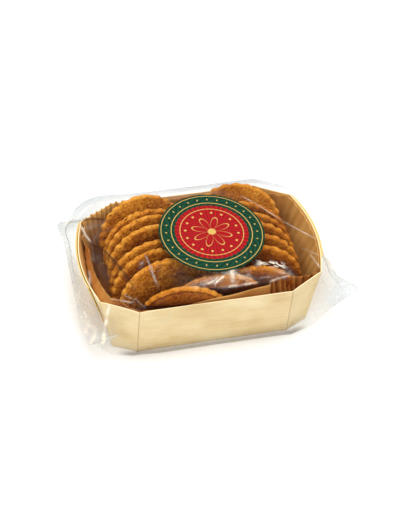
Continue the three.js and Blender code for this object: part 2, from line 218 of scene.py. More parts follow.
@dataclass
class Grid:
    """A surface as rows of points, with its outside on the left of a row as the rows go on.

    points has the shape (rows, columns, 3). closed joins the ends of each row, looped joins the last row
    to the first, and a pole closes the surface before the first row or after the last. uv has one more
    column if the rows are closed and one more row if they are looped. marks are named numbers.
    """

    points: Array
    closed: bool = False
    looped: bool = False
    first_pole: Array | None = None
    last_pole: Array | None = None
    uv: Array | None = None
    marks: dict[str, Array] = field(default_factory=dict)

    def quads(self) -> tuple[Array, Array]:
        """Four point numbers for each face, and its four places in the uv grid.

        Returns:
            Both as arrays of the shape (faces, 4).
        """
        rows, columns = self.points.shape[:2]
        steps = (rows if self.looped else rows - 1, columns if self.closed else columns - 1)
        r, c = np.indices(steps).reshape(2, -1)
        wide = columns + 1 if self.closed else columns
        corners = ((0, 0), (0, 1), (1, 1), (1, 0))
        points = [(r + a) % rows * columns + (c + b) % columns for a, b in corners]
        places = [(r + a) * wide + c + b for a, b in corners]
        return spread(*points), spread(*places)

    def fans(self) -> Array:
        """Three point numbers for each face round a pole; the poles are numbered after the grid.

        Returns:
            An array of the shape (faces, 3).
        """
        rows, columns = self.points.shape[:2]
        c = np.arange(columns)
        following = (c + 1) % columns
        pole = rows * columns
        made = [np.empty((0, 3), dtype=int)]
        if self.first_pole is not None:
            made.append(spread(pole, following, c))
            pole += 1
        if self.last_pole is not None:
            last = (rows - 1) * columns
            made.append(spread(last + c, last + following, pole))
        return np.concatenate(made)

    def all_points(self) -> Array:
        """The grid's points and then its poles, one to a line."""
        poles = [p for p in (self.first_pole, self.last_pole) if p is not None]
        return np.concatenate([self.points.reshape(-1, 3), *[np.reshape(p, (1, 3)) for p in poles]])

    def all_marks(self, name: str) -> Array:
        """A mark for every point and pole: a pole takes the mean of the row beside it.

        Args:
            name: the mark's name.

        Returns:
            One number for each point, in the order of all_points.
        """
        values = np.broadcast_to(self.marks[name], self.points.shape[:2])
        ends = [(self.first_pole, values[0]), (self.last_pole, values[-1])]
        return np.concatenate([values.ravel(), *[[row.mean()] for pole, row in ends if pole is not None]])

    def mesh(self, name: str) -> Mesh:
        """The surface as a smooth mesh, with its uv and its marks as attributes.

        Args:
            name: the mesh's name.

        Returns:
            The new mesh.
        """
        quads, places = self.quads()
        fans = self.fans()
        mesh = bpy.data.meshes.new(name)
        mesh.from_pydata(self.all_points(), [], quads.tolist() + fans.tolist())
        if self.uv is not None:
            uv = np.concatenate([self.uv.reshape(-1, 2)[places.ravel()], np.zeros((fans.size, 2))])
            mesh.uv_layers.new(name="UVMap").data.foreach_set("uv", uv.astype(np.float32).ravel())
        for mark in sorted(self.marks):
            values = self.all_marks(mark).astype(np.float32)
            mesh.attributes.new(mark, "FLOAT", "POINT").data.foreach_set("value", values)
        mesh.shade_smooth()
        mesh.update()
        return mesh


def put(name: str, data: ID) -> Object:
    """Puts a new object into the scene.

    Args:
        name: the object's name.
        data: its mesh, lamp or camera.

    Returns:
        The object.
    """
    made = bpy.data.objects.new(name, data)
    bpy.context.scene.collection.objects.link(made)
    return made


def show(name: str, grid: Grid, material: Material, slot: str, *nodes: str) -> Object:
    """Puts a surface on show: it rides on the one body and stands for CAD nodes.

    Args:
        name: the piece's name.
        grid: its surface, in place.
        material: its finish.
        slot: not used.
        nodes: the CAD nodes that it stands for.

    Returns:
        The new object.
    """
    mesh = grid.mesh(name)
    mesh.materials.append(material)
    piece = put(name, mesh)
    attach(piece, "root")
    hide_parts(*nodes)
    log.info("%s: %d faces for %s", name, len(mesh.polygons), ", ".join(nodes))
    return piece


def thicken(piece: Object, name: str, thickness: float) -> None:
    """Gives a sheet its thickness, half to each side, by a modifier of that name."""
    leaf = piece.modifiers.new(name, "SOLIDIFY")
    leaf.thickness, leaf.offset = thickness, 0.0


def node_points(name: str) -> Array:
    """The points of a CAD node's mesh.

    Args:
        name: the node's name.

    Returns:
        One point to a line.
    """
    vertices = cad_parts[name].data.vertices
    flat = np.empty(3 * len(vertices), dtype=np.float32)
    vertices.foreach_get("co", flat)
    return flat.reshape(-1, 3).astype(float)


# Shader nodes written as sums


def linear(red: int, green: int, blue: int) -> Colour:
    """A colour as shaders take it, from the 0 to 255 numbers that a screen shows."""
    shown = np.array([red, green, blue]) / 255.0
    return (*np.where(shown <= 0.04045, shown / 12.92, ((shown + 0.055) / 1.055) ** 2.4).tolist(), 1.0)


Number = Union["Wire", float]


@dataclass(frozen=True)
class Wire:
    """A number that changes over the surface: a node socket whose sums and products add Math nodes."""

    tree: NodeTree
    socket: NodeSocket

    def math(self, operation: str, *others: Number) -> "Wire":
        """A Math node with this wire first and the others after it.

        Args:
            operation: the Math node's operation.
            others: what goes into its further inputs.

        Returns:
            The node's output.
        """
        node = self.tree.nodes.new("ShaderNodeMath")
        node.operation = operation
        for place, value in zip(node.inputs, (self, *others)):
            plug(value, place)
        return Wire(self.tree, node.outputs[0])

    def __add__(self, other: Number) -> "Wire":
        """The sum."""
        return self.math("ADD", other)

    def __sub__(self, other: Number) -> "Wire":
        """The difference."""
        return self.math("SUBTRACT", other)

    def __mul__(self, other: Number) -> "Wire":
        """The product."""
        return self.math("MULTIPLY", other)

    def __abs__(self) -> "Wire":
        """The size without the sign."""
        return self.math("ABSOLUTE")

    def step(self, low: float, high: float) -> "Wire":
        """A smooth step of this wire.

        Args:
            low: where the step is 0.
            high: where it is 1, which may be below low.

        Returns:
            The step, from 0 to 1.
        """
        node = self.tree.nodes.new("ShaderNodeMapRange")
        node.interpolation_type = "SMOOTHSTEP"
        ends = (min(low, high), max(low, high), float(low > high), float(low < high))
        for place, value in zip(node.inputs, (self, *ends)):
            plug(value, place)
        return Wire(self.tree, node.outputs["Result"])


def plug(value: Union[Number, Place, Colour], place: NodeSocket) -> None:
    """Joins a wire to a socket, or sets the socket's own number, place or colour.

    Args:
        value: what goes into the socket.
        place: the socket.
    """
    if isinstance(value, Wire):
        value.tree.links.new(value.socket, place)
    else:
        place.default_value = value


def highest(*wires: Wire) -> Wire:
    """The highest of several wires at each place."""
    return reduce(lambda a, b: a.math("MAXIMUM", b), wires)


@dataclass(frozen=True)
class Texture:
    """Uneven tone: how often it changes in a unit of the place, its detail, contrast and stretch."""

    scale: float
    detail: float
    contrast: float
    stretch: Place = (1, 1, 1)


class Mottle:
    """The shared node group for uneven tone: noise of a given scale, stretched to run from 0 to 1."""

    NAME = "uneven_tone"
    INPUTS = {"Vector": "Vector", "Scale": "Float", "Detail": "Float", "Contrast": "Float"}

    @classmethod
    def group(cls) -> NodeTree:
        """The node group, built the first time that it is asked for.

        Returns:
            The group.
        """
        made = bpy.data.node_groups.get(cls.NAME)
        if made:
            return made
        made = bpy.data.node_groups.new(cls.NAME, "ShaderNodeTree")
        for name, kind in cls.INPUTS.items():
            made.interface.new_socket(name, in_out="INPUT", socket_type=f"NodeSocket{kind}")
        made.interface.new_socket("Tone", in_out="OUTPUT", socket_type="NodeSocketFloat")
        inside = made.nodes.new("NodeGroupInput")
        texture = made.nodes.new("ShaderNodeTexNoise")
        for name in ("Vector", "Scale", "Detail"):
            made.links.new(inside.outputs[name], texture.inputs[name])
        centred = Wire(made, texture.outputs["Fac"]) - 0.5
        tone = centred * Wire(made, inside.outputs["Contrast"]) + 0.5
        limited = tone.math("MAXIMUM", 0.0).math("MINIMUM", 1.0)
        made.links.new(limited.socket, made.nodes.new("NodeGroupOutput").inputs["Tone"])
        return made


class Graph:
    """A material's node tree, with its Principled shader."""

    def __init__(self, name: str) -> None:
        """Makes a material whose only shader is a Principled one.

        Args:
            name: the material's name.
        """
        self.material = bpy.data.materials.new(name)
        self.material.use_nodes = True
        self.tree = self.material.node_tree
        self.shader = next(n for n in self.tree.nodes if n.type == "BSDF_PRINCIPLED")

    def set(self, **values: Union[Number, Colour]) -> None:
        """Sets or joins the shader's sockets; base_color is its socket Base Color, and so on."""
        for name, value in values.items():
            plug(value, self.shader.inputs[name.replace("_", " ").title().replace("Ior", "IOR")])

    def add(self, kind: str, **inputs: Union[Number, Place]) -> Node:
        """Adds a node and fills the inputs that are named.

        Args:
            kind: the node's type.
            inputs: a value or a wire for each input that is filled.

        Returns:
            The new node.
        """
        node = self.tree.nodes.new(kind)
        for name, value in inputs.items():
            plug(value, node.inputs[name.replace("_", " ").title()])
        return node

    def wire(self, node: Node, output: Union[str, int] = 0) -> Wire:
        """A node's output as a wire."""
        return Wire(self.tree, node.outputs[output])

    def place(self, source: str, scale: Place = (1, 1, 1), shift: Place = (0, 0, 0)) -> Wire:
        """Coordinates, moved by a shift and then stretched by a scale.

        Args:
            source: Object or UV.
            scale: the stretch along each axis.
            shift: the place that becomes the origin.

        Returns:
            The coordinates.
        """
        found = self.wire(self.add("ShaderNodeTexCoord"), source)
        location = tuple(-a * b for a, b in zip(shift, scale))
        return self.wire(self.add("ShaderNodeMapping", vector=found, location=location, scale=scale))

    def mark(self, name: str) -> Wire:
        """A named number that the mesh holds.

        Args:
            name: the mark's name.

        Returns:
            The number.
        """
        node = self.add("ShaderNodeAttribute")
        node.attribute_name = name
        return self.wire(node, "Fac")

    def mottle(self, place: Wire, texture: Texture) -> Wire:
        """Uneven tone from 0 to 1, by the shared group.

        Args:
            place: the coordinates.
            texture: how the tone changes over them.

        Returns:
            The tone.
        """
        node = self.add("ShaderNodeGroup")
        node.node_tree = Mottle.group()
        plug(place, node.inputs["Vector"])
        for name in ("scale", "detail", "contrast"):
            plug(getattr(texture, name), node.inputs[name.title()])
        return self.wire(node)

    def ramp(self, tone: Wire, *stops: tuple[float, Colour]) -> Wire:
        """Colours along a tone.

        Args:
            tone: a number from 0 to 1.
            stops: the colours, each with its place on the tone.

        Returns:
            The colour.
        """
        node = self.add("ShaderNodeValToRGB", fac=tone)
        elements = node.color_ramp.elements
        while len(elements) < len(stops):
            elements.new(1.0)
        for element, (place, colour) in zip(elements, stops):
            element.position = place
            element.color = colour
        return self.wire(node)

    def mix(self, share: Wire, first: Union[Wire, Colour], second: Union[Wire, Colour]) -> Wire:
        """Two colours mixed by a share that changes over the surface.

        Args:
            share: how much of the second colour there is, from 0 to 1.
            first: the first colour.
            second: the second colour.

        Returns:
            The mixed colour.
        """
        node = self.add("ShaderNodeMix")
        node.data_type = "RGBA"
        plug(share, node.inputs["Factor"])
        plug(first, node.inputs[6])
        plug(second, node.inputs[7])
        return self.wire(node, 2)

    def relief(self, height: Wire, depth: float, strength: float) -> Wire:
        """A normal bumped by a height, which is in shares of a depth and counts by its strength."""
        return self.wire(self.add("ShaderNodeBump", height=height, distance=depth, strength=strength))


# Finishes


@dataclass(frozen=True)
class Veneer:
    """Bare sliced poplar: faint pale streaks and fibres along the band, brown scores, bright cut edges."""

    name: str
    shade: Colour = linear(203, 172, 116)
    middle: Colour = linear(222, 198, 148)
    pale: Colour = linear(236, 218, 176)
    score: Colour = linear(134, 98, 56)
    cut: Colour = linear(246, 226, 178)
    golden: Colour = linear(228, 172, 88)
    streaks: Texture = Texture(1.0, 4.0, 1.8, (12, 190, 1))
    fibres: Texture = Texture(1.0, 2.0, 2.4, (60, 1300, 1))
    clouds: Texture = Texture(1.0, 4.0, 2.6, (26, 34, 1))
    fibre_depth: float = 0.12 * MM

    def material(self) -> Material:
        """The finish; its grain follows the UV map, whose units are metres along and up the wall.

        Returns:
            The material.
        """
        graph = Graph(self.name)
        streaks, fibres, clouds = (
            graph.mottle(graph.place("UV", texture.stretch), texture)
            for texture in (self.streaks, self.fibres, self.clouds)
        )
        tone = streaks * 0.16 + fibres * 0.24 + clouds * 0.60
        grain = graph.ramp(tone, (0.08, self.shade), (0.5, self.middle), (0.92, self.pale))
        warmed = graph.mix(graph.mark("golden") * 0.8, grain, self.golden)
        edged = graph.mix(graph.mark("cut_edge"), warmed, self.cut)
        graph.set(
            base_color=graph.mix(graph.mark("score"), edged, self.score),
            roughness=fibres * 0.18 + 0.46,
            specular_ior_level=0.25,
            normal=graph.relief(fibres, self.fibre_depth, 0.5),
        )
        return graph.material


@dataclass(frozen=True)
class BrownPaper:
    """Greaseproof baking paper: warm brown, a little glossy, blotched by butter, with painted light and
    shade.
    """

    name: str = "greaseproof_paper"
    dark: Colour = linear(128, 70, 20)
    middle: Colour = linear(182, 118, 50)
    pale: Colour = linear(222, 172, 96)
    blotches: Texture = Texture(55.0, 3.0, 2.0)
    fibres: Texture = Texture(900.0, 2.0, 1.6)
    fibre_depth: float = 0.08 * MM

    def material(self) -> Material:
        """The finish; a mark of the mesh makes it paler and darker in places: painted light and shade, and
        butter blotches.

        Returns:
            The material.
        """
        graph = Graph(self.name)
        place = graph.place("Object")
        blotches = graph.mottle(place, self.blotches)
        fibres = graph.mottle(place, self.fibres)
        tone = blotches * 0.25 + fibres * 0.15 + graph.mark("fold") * 0.6
        graph.set(
            base_color=graph.ramp(tone, (0.1, self.dark), (0.5, self.middle), (0.95, self.pale)),
            roughness=blotches * 0.2 + 0.42,
            specular_ior_level=0.15,
            normal=graph.relief(fibres, self.fibre_depth, 0.5),
        )
        return graph.material


@dataclass(frozen=True)
class Crust:
    """Baked butter dough: golden at the sides and browner on the faces, partly painted light; granular,
    with dark pores.
    """

    name: str = "baked_crust"
    pale: Colour = linear(226, 160, 66)
    gold: Colour = linear(202, 128, 36)
    brown: Colour = linear(162, 89, 18)
    dark: Colour = linear(108, 48, 6)
    # the colour of pores, and of the painted shade low between a biscuit's neighbours
    pore: Colour = linear(78, 30, 3)
    grains: Texture = Texture(620.0, 3.0, 2.6)
    sugar: Texture = Texture(1700.0, 2.0, 2.2)
    grain_depth: float = 0.35 * MM

    def material(self) -> Material:
        """The finish; two marks of the mesh give its brownness, with painted light and shade, and its
        pores, with painted shade.

        Returns:
            The material.
        """
        graph = Graph(self.name)
        place = graph.place("Object")
        grains = graph.mottle(place, self.grains)
        sugar = graph.mottle(place, self.sugar)
        tone = graph.mark("toast") + (grains - 0.5) * 0.36 + (sugar - 0.5) * 0.26
        stops = ((0.05, self.pale), (0.35, self.gold), (0.68, self.brown), (1.0, self.dark))
        graph.set(
            base_color=graph.mix(graph.mark("pore"), graph.ramp(tone, *stops), self.pore),
            roughness=grains * 0.25 + 0.55,
            specular_ior_level=0.08,
            normal=graph.relief(grains * 0.6 + sugar * 0.4, self.grain_depth, 0.8),
        )
        return graph.material


@dataclass(frozen=True)
class ClearFilm:
    """Glossy clear film: what it mirrors is its alpha, and loose or creased film is milky."""

    name: str = "clear_film"
    bright: Colour = linear(255, 243, 222)
    milky: Colour = linear(192, 200, 203)
    # the colour of painted shade: dark creases and the painted shadow at the foot of the wall
    folded: Colour = linear(58, 30, 14)
    mirror: float = 0.008
    grazing: float = 0.16
    gloss: float = 0.08
    sparkle: Texture = Texture(700.0, 2.0, 2.2)
    crinkle: Texture = Texture(150.0, 3.0, 1.6)
    crinkle_depth: float = 0.5 * MM

    def material(self) -> Material:
        """The finish; its alpha is a mirror's share by Schlick plus the marks of the mesh.

        The mark veil is milky, shine is a painted white highlight that sparkles, and shade is painted
        shade: dark creases and a painted shadow at the foot.

        Returns:
            The material.
        """
        graph = Graph(self.name)
        place = graph.place("Object")
        shade = graph.mark("shade")
        shine = graph.mark("shine") * (graph.mottle(place, self.sparkle) * 0.6 + 0.7)
        milk = graph.mark("veil") + shine + shade
        facing = graph.wire(graph.add("ShaderNodeLayerWeight", blend=0.5), "Facing")
        mirrored = facing.math("POWER", 5.0) * self.grazing + self.mirror
        pale = graph.mix((shine * 3.0).math("MINIMUM", 1.0), self.milky, self.bright)
        graph.set(
            base_color=graph.mix((shade * 8.0).math("MINIMUM", 1.0), pale, self.folded),
            metallic=(milk * -5.0 + 1.0).math("MAXIMUM", 0.0),
            roughness=(milk * 1.2 + self.gloss).math("MINIMUM", 0.5),
            specular_ior_level=0.15,
            alpha=(mirrored + milk).math("MINIMUM", 0.95),
            normal=graph.relief(graph.mottle(place, self.crinkle), self.crinkle_depth, 0.45),
        )
        return graph.material


@dataclass(frozen=True)
class StickerPrint:
    """A round print: a green ring with gold lozenges, and a red middle with rays and a gold rosette.

    Distances are shares of the radius.
    """

    centre: Pair
    radius: float
    name: str = "sticker_print"
    green: Colour = linear(10, 66, 42)
    deep_green: Colour = linear(4, 48, 30)
    red: Colour = linear(170, 13, 20)
    deep_red: Colour = linear(138, 8, 15)
    gold: Colour = linear(206, 166, 90)
    red_edge: float = 0.70
    scallop: float = 0.018
    scallops: int = 40
    stripes: float = 36.0
    twist: float = 60.0
    outer_line: float = 0.955
    lozenge_ring: float = 0.86
    lozenges: int = 28
    inner_line: float = 0.765
    rays: int = 44
    middle_line: float = 0.6
    dot_ring: float = 0.5
    petals: int = 8
    petal: float = 0.34
    petal_foot: float = 0.04
    heart: float = 0.085

    def material(self) -> Material:
        """The finish, drawn from the distance to the middle and the angle round it.

        Returns:
            The material.
        """
        graph = Graph(self.name)
        scale = 1.0 / self.radius
        place = graph.place("Object", (scale, scale, 1.0), (*self.centre, 0.0))
        parts = graph.add("ShaderNodeSeparateXYZ", vector=place)
        x, y = graph.wire(parts, "X"), graph.wire(parts, "Y")
        reach = (x * x + y * y).math("SQRT")
        angle = y.math("ARCTAN2", x)
        ring = self._ring(graph, reach, angle)
        middle = self._middle(graph, reach, angle)
        lobes = abs((angle * (self.scallops / 2)).math("SINE")) * self.scallop
        inside = (reach + lobes).step(self.red_edge + 0.012, self.red_edge)
        printed = graph.mix(inside, ring, middle)
        graph.set(base_color=printed, roughness=0.5, specular_ior_level=0.1)
        return graph.material

    def _repeat(self, angle: Wire, count: int) -> Wire:
        """Turns from the middle of the nearest of so many equal sectors, from -0.5 to 0.5 of a sector."""
        turns = angle * (count / (2.0 * math.pi)) + float(count)
        return turns.math("FRACT") - 0.5

    def _ring(self, graph: Graph, reach: Wire, angle: Wire) -> Wire:
        """Twisted stripes of two greens, a row of gold lozenges and two thin gold lines.

        Args:
            graph: the material's graph.
            reach: the distance to the middle.
            angle: the angle round it.

        Returns:
            The colour.
        """
        twist = (angle * self.stripes + reach * self.twist).math("SINE").step(-0.5, 0.5)
        stripes = graph.mix(twist, self.green, self.deep_green)
        sector = 2.0 * math.pi * self.lozenge_ring / self.lozenges
        across = abs(self._repeat(angle, self.lozenges)) * sector
        lozenge = (across * 1.6 + abs(reach - self.lozenge_ring)).step(0.030, 0.020)
        outer = abs(reach - self.outer_line).step(0.009, 0.004)
        inner = abs(reach - self.inner_line).step(0.010, 0.005)
        return graph.mix(highest(lozenge, outer, inner), stripes, self.gold)

    def _middle(self, graph: Graph, reach: Wire, angle: Wire) -> Wire:
        """Rays of two reds, a gold rosette, a ring of gold dots and a thin gold line.

        Args:
            graph: the material's graph.
            reach: the distance to the middle.
            angle: the angle round it.

        Returns:
            The colour.
        """
        rays = abs(self._repeat(angle, self.rays)).step(0.2, 0.3)
        field_of_red = graph.mix(rays, self.red, self.deep_red)
        leaf = abs(self._repeat(angle, self.petals)) * 2.0
        petal = (leaf * leaf * -1.0 + 1.0) * self.petal
        outline = abs(reach - petal - self.petal_foot).step(0.016, 0.008)
        heart = reach.step(self.heart, self.heart - 0.015)
        sector = math.pi * self.dot_ring / self.petals
        across = abs(self._repeat(angle, 2 * self.petals)) * sector
        beside = reach - self.dot_ring
        dots = (across * across + beside * beside).step(0.0007, 0.0004)
        line = abs(reach - self.middle_line).step(0.010, 0.005)
        return graph.mix(highest(outline, heart, dots, line), field_of_red, self.gold)


# Tray


class Side(Enum):
    """Sides of the octagon, counter-clockwise from the front wall."""

    FRONT = 0
    FRONT_RIGHT = 1
    RIGHT = 2
    BACK_RIGHT = 3
    BACK = 4
    BACK_LEFT = 5
    LEFT = 6
    FRONT_LEFT = 7


@dataclass(frozen=True)
class Columns:
    """Columns once round the octagon: the side that each is on, and its share along that side."""

    side: Array
    share: Array


@dataclass(frozen=True)
class TrayShape:
    """The octagon that slopes out from the base to the rim, with ends that bow out towards the rim."""

    length: float = 170 * MM
    width: float = 123 * MM
    height: float = 50 * MM
    cut_x: float = 26.9 * MM
    cut_y: float = 16.6 * MM
    base_length: float = 152.6 * MM
    base_width: float = 107 * MM
    base_cut_x: float = 17.8 * MM
    base_cut_y: float = 9.4 * MM
    end_bow: float = 8 * MM

    def columns(self, long: int, cut: int, end: int, eased: bool = False) -> Columns:
        """Columns that are evenly spaced along each side, or eased.

        Args:
            long: columns on the front and on the back wall.
            cut: columns on each cut corner.
            end: columns on each end.
            eased: whether the columns draw together towards the corners.

        Returns:
            The columns.
        """
        counts = [long, cut, end, cut, long, cut, end, cut]
        shares = [np.arange(n) / n for n in counts]
        if eased:
            shares = [(1.0 - np.cos(np.pi * s)) / 2.0 for s in shares]
        return Columns(np.repeat(np.arange(len(Side)), counts), np.concatenate(shares))

    def corners(self, level: Array, offset: float) -> Array:
        """The eight corners at each level, once all eight sides have moved out by an offset.

        Args:
            level: levels from 0 at the base to 1 at the rim.
            offset: how far the walls move out.

        Returns:
            An array of the shape (levels, 8, 2).
        """
        half_x = blend(self.base_length, self.length, level) / 2.0
        half_y = blend(self.base_width, self.width, level) / 2.0
        cut_x = blend(self.base_cut_x, self.cut_x, level)
        cut_y = blend(self.base_cut_y, self.cut_y, level)
        reach = cut_y * half_x + cut_x * (half_y - cut_y) + offset * np.hypot(cut_x, cut_y)
        out_x = half_x + offset
        out_y = half_y + offset
        long_x = (reach - cut_x * out_y) / cut_y
        end_y = (reach - cut_y * out_x) / cut_x
        x = spread(-long_x, long_x, out_x, out_x, long_x, -long_x, -out_x, -out_x)
        y = spread(-out_y, -out_y, -end_y, end_y, out_y, out_y, end_y, -end_y)
        return spread(x, y)

    def outline(self, level: Array, columns: Columns) -> tuple[Array, Array]:
        """Plan points round the tray's outside, and how they move for each metre of offset.

        A point runs along its side between two corners, and the ends bow out by a parabola.

        Args:
            level: one level for each row.
            columns: the columns.

        Returns:
            Two arrays of the shape (rows, columns, 2).
        """
        side, share = columns.side, columns.share
        placed = []
        for offset in (0.0, 1.0 * MM):
            corner = self.corners(level, offset)
            placed.append(blend(corner[:, side], corner[:, (side + 1) % len(Side)], share[None, :, None]))
        outward = (placed[1] - placed[0]) / MM
        ends = (side == Side.RIGHT.value).astype(float) - (side == Side.LEFT.value)
        arc = 1.0 - (2.0 * share - 1.0) ** 2
        placed[0][..., 0] += self.end_bow * level[:, None] * ends * arc
        return placed[0], outward

    def side_lengths(self) -> Array:
        """The length of each side at the rim."""
        corner = self.corners(RIM_LEVEL, 0.0)[0]
        return np.linalg.norm(np.roll(corner, -1, axis=0) - corner, axis=1)

    def run(self, columns: Columns) -> tuple[Array, Array]:
        """Each column's distance round the rim, and its distance to the nearest corner.

        Args:
            columns: the columns.

        Returns:
            Two arrays, one number for each column.
        """
        lengths = self.side_lengths()
        start = np.cumsum(lengths) - lengths
        along = lengths[columns.side] * columns.share
        return start[columns.side] + along, np.minimum(along, lengths[columns.side] - along)

    def girth(self) -> float:
        """The distance once round the rim."""
        return float(self.side_lengths().sum())


@dataclass
class Tray:
    """The veneer band with its scored corners, the sprung second layer at the ends, and the base."""

    shape: TrayShape
    columns: tuple[int, int, int] = (120, 36, 70)
    wall_rows: int = 26
    wall: float = 1.0 * MM
    edge_round: float = 0.3 * MM
    edge_turn: tuple[float, ...] = (15, 35, 55, 75, 90)
    cut_share: float = 0.55
    score_width: float = 0.4 * MM
    score_depth: float = 0.2 * MM
    score_tone: float = 0.55
    warp: float = 0.3 * MM
    warp_cell: float = 45 * MM
    warp_stretch: float = 1.5
    warp_from_corner: float = 6 * MM
    lap_rows: int = 24
    lap_columns: int = 60
    lap_thickness: float = 0.8 * MM
    lap_spring: float = 0.35 * MM
    lap_span: Pair = (-0.97, 0.62)
    lap_foot: float = 0.06
    lap_cut: float = 0.985
    lap_grain_shift: float = 0.3
    seed: int = 5

    def build(self) -> None:
        """Builds the band and both laps, and gives the CAD base its finish."""
        veneer = Veneer("poplar_veneer").material()
        golden = Veneer(
            "poplar_veneer_lap",
            shade=linear(206, 150, 60),
            middle=linear(232, 186, 88),
            pale=linear(242, 208, 126),
            cut=linear(244, 208, 126),
        ).material()
        show("veneer_band", self.band(), veneer, "veneer", "tray_band")
        for node, side in (("tray_lap_left", Side.LEFT), ("tray_lap_right", Side.RIGHT)):
            piece = show(node.replace("tray", "veneer"), self.lap(side), golden, "veneer_lap", node)
            thicken(piece, "veneer", self.lap_thickness)
        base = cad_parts["tray_base"]
        base.data.materials.clear()
        base.data.materials.append(Veneer("poplar_base").material())

    def section(self) -> tuple[Array, Array]:
        """The wall's section: up the outside, over the rounded rim and down the inside.

        Returns:
            The heights, and how far out of the tray's outline they are.
        """
        height, turn = self.shape.height, self.edge_round
        up = np.linspace(0.0, height - turn, self.wall_rows)
        arc = np.radians(self.edge_turn)
        over = height - turn + turn * np.sin(arc)
        drawn = -turn + turn * np.cos(arc)
        heights = np.concatenate([up, over, over[::-1], up[::-1]])
        offsets = np.concatenate([0 * up, drawn, -self.wall - drawn[::-1], 0 * up - self.wall])
        return heights, offsets

    def band(self) -> Grid:
        """The wall: the octagon's outline at each height, moved out by the section and in by the scores.

        A score is a bell-shaped groove at an outside corner. The whole wall warps by smooth noise.

        Returns:
            The band, looped from its inside back to its outside.
        """
        heights, offsets = self.section()
        columns = self.shape.columns(*self.columns, eased=True)
        distance, to_corner = self.shape.run(columns)
        level = heights / self.shape.height
        plan, outward = self.shape.outline(level, columns)
        outside = (offsets > -self.wall / 2.0)[:, None]
        score = bump(to_corner, 0.0, self.score_width)[None, :] * outside
        wander = spread(distance[None, :], self.warp_stretch * heights[:, None], 0.0)
        warp = self.warp * noise(wander, self.warp_cell, self.seed) * level[:, None] - self.warp
        warp = warp * smooth(0.0, self.warp_from_corner, to_corner)
        moved = offsets[:, None] - self.score_depth * score + warp
        plan = plan + outward * moved[..., None]
        cut = smooth(self.cut_share * self.edge_round, 0, self.shape.height - heights)[:, None]
        uv = spread(np.append(distance, self.shape.girth())[None, :], np.append(heights, 0.0)[:, None])
        marks = {"score": score * self.score_tone, "cut_edge": cut, "golden": 1.0 - outside}
        return Grid(lifted(plan, heights[:, None]), closed=True, looped=True, uv=uv, marks=marks)

    def lap(self, end: Side) -> Grid:
        """The middle of the second layer at an end: the end wall moved out, with more bow at the rim.

        Args:
            end: the left or the right end.

        Returns:
            The layer, which has no thickness yet.
        """
        level = np.linspace(self.lap_foot, 1.0, self.lap_rows)
        place = np.linspace(*self.lap_span, self.lap_columns)
        share = (1.0 + place) / 2.0 if end is Side.LEFT else (1.0 - place[::-1]) / 2.0
        columns = Columns(np.full(self.lap_columns, end.value), share)
        plan, outward = self.shape.outline(level, columns)
        along = np.linspace(-1.0, 1.0, self.lap_columns)
        sprung = self.lap_spring * level[:, None] * (1.0 - along**4)
        plan = plan + outward * (self.lap_thickness / 2.0 + sprung)[..., None]
        height = (level * self.shape.height)[:, None]
        distance, _ = self.shape.run(columns)
        uv = spread(distance[None, :] + self.lap_grain_shift, height)
        marks = {"cut_edge": smooth(self.lap_cut, 1.0, level)[:, None]}
        return Grid(lifted(plan, height), uv=uv, marks=marks)


# Liner


@dataclass(frozen=True)
class PaperTone:
    """How much paler or darker the paper is in each place, mostly painted light and shade, and the spans
    over which that changes.
    """

    plain: float = 0.55
    blotch: float = 0.3
    # painted light and shade: light and dark stripes on the fine pleats
    pleat_foot: float = 0.35
    pleat: float = 0.4
    flap: float = 0.3
    corner: float = 0.2
    # painted shade on the pleats of the front right corner
    corner_pleat_shade: float = -1.2
    # painted light at the tops of the ends and at the left end, most where it faces the front
    end_top: float = 0.45
    end_level: Span = (0.2, 1.0)
    left_end: float = 0.1
    left_back: float = 0.5
    left_front_y: Span = (10 * MM, -30 * MM)
    # painted light on the pleats at the back left, most at their tops
    back: float = 0.25
    back_top: float = 0.4
    back_top_z: Span = (46 * MM, 50 * MM)
    # painted shade deep in the gap between the left end and the biscuits
    painted_shade_left: float = -0.55
    painted_shade_level: Span = (0.7, 0.4)
    # painted shade under the left end's folded-over top
    folded: float = -0.4
    folded_level: Span = (0.7, 0.9)
    # painted shade on the floor of the case
    floor: float = -0.05


@dataclass(frozen=True)
class PaperColumns:
    """What the paper does in each column round the tray.

    x and y are the rim's plan. The six after them say, from 0 to 1, how far a column is in a finely
    pleated corner, at an end, in the front's flat flap and in the folded-over top of the left end. broad
    is the wide pleats alone, pleats all of them, depth their depth, and lean how far the top leans in.
    """

    x: Array
    y: Array
    front_right: Array
    back_left: Array
    left_end: Array
    right_end: Array
    flap: Array
    folded: Array
    broad: Array
    pleats: Array
    depth: Array
    lean: Array


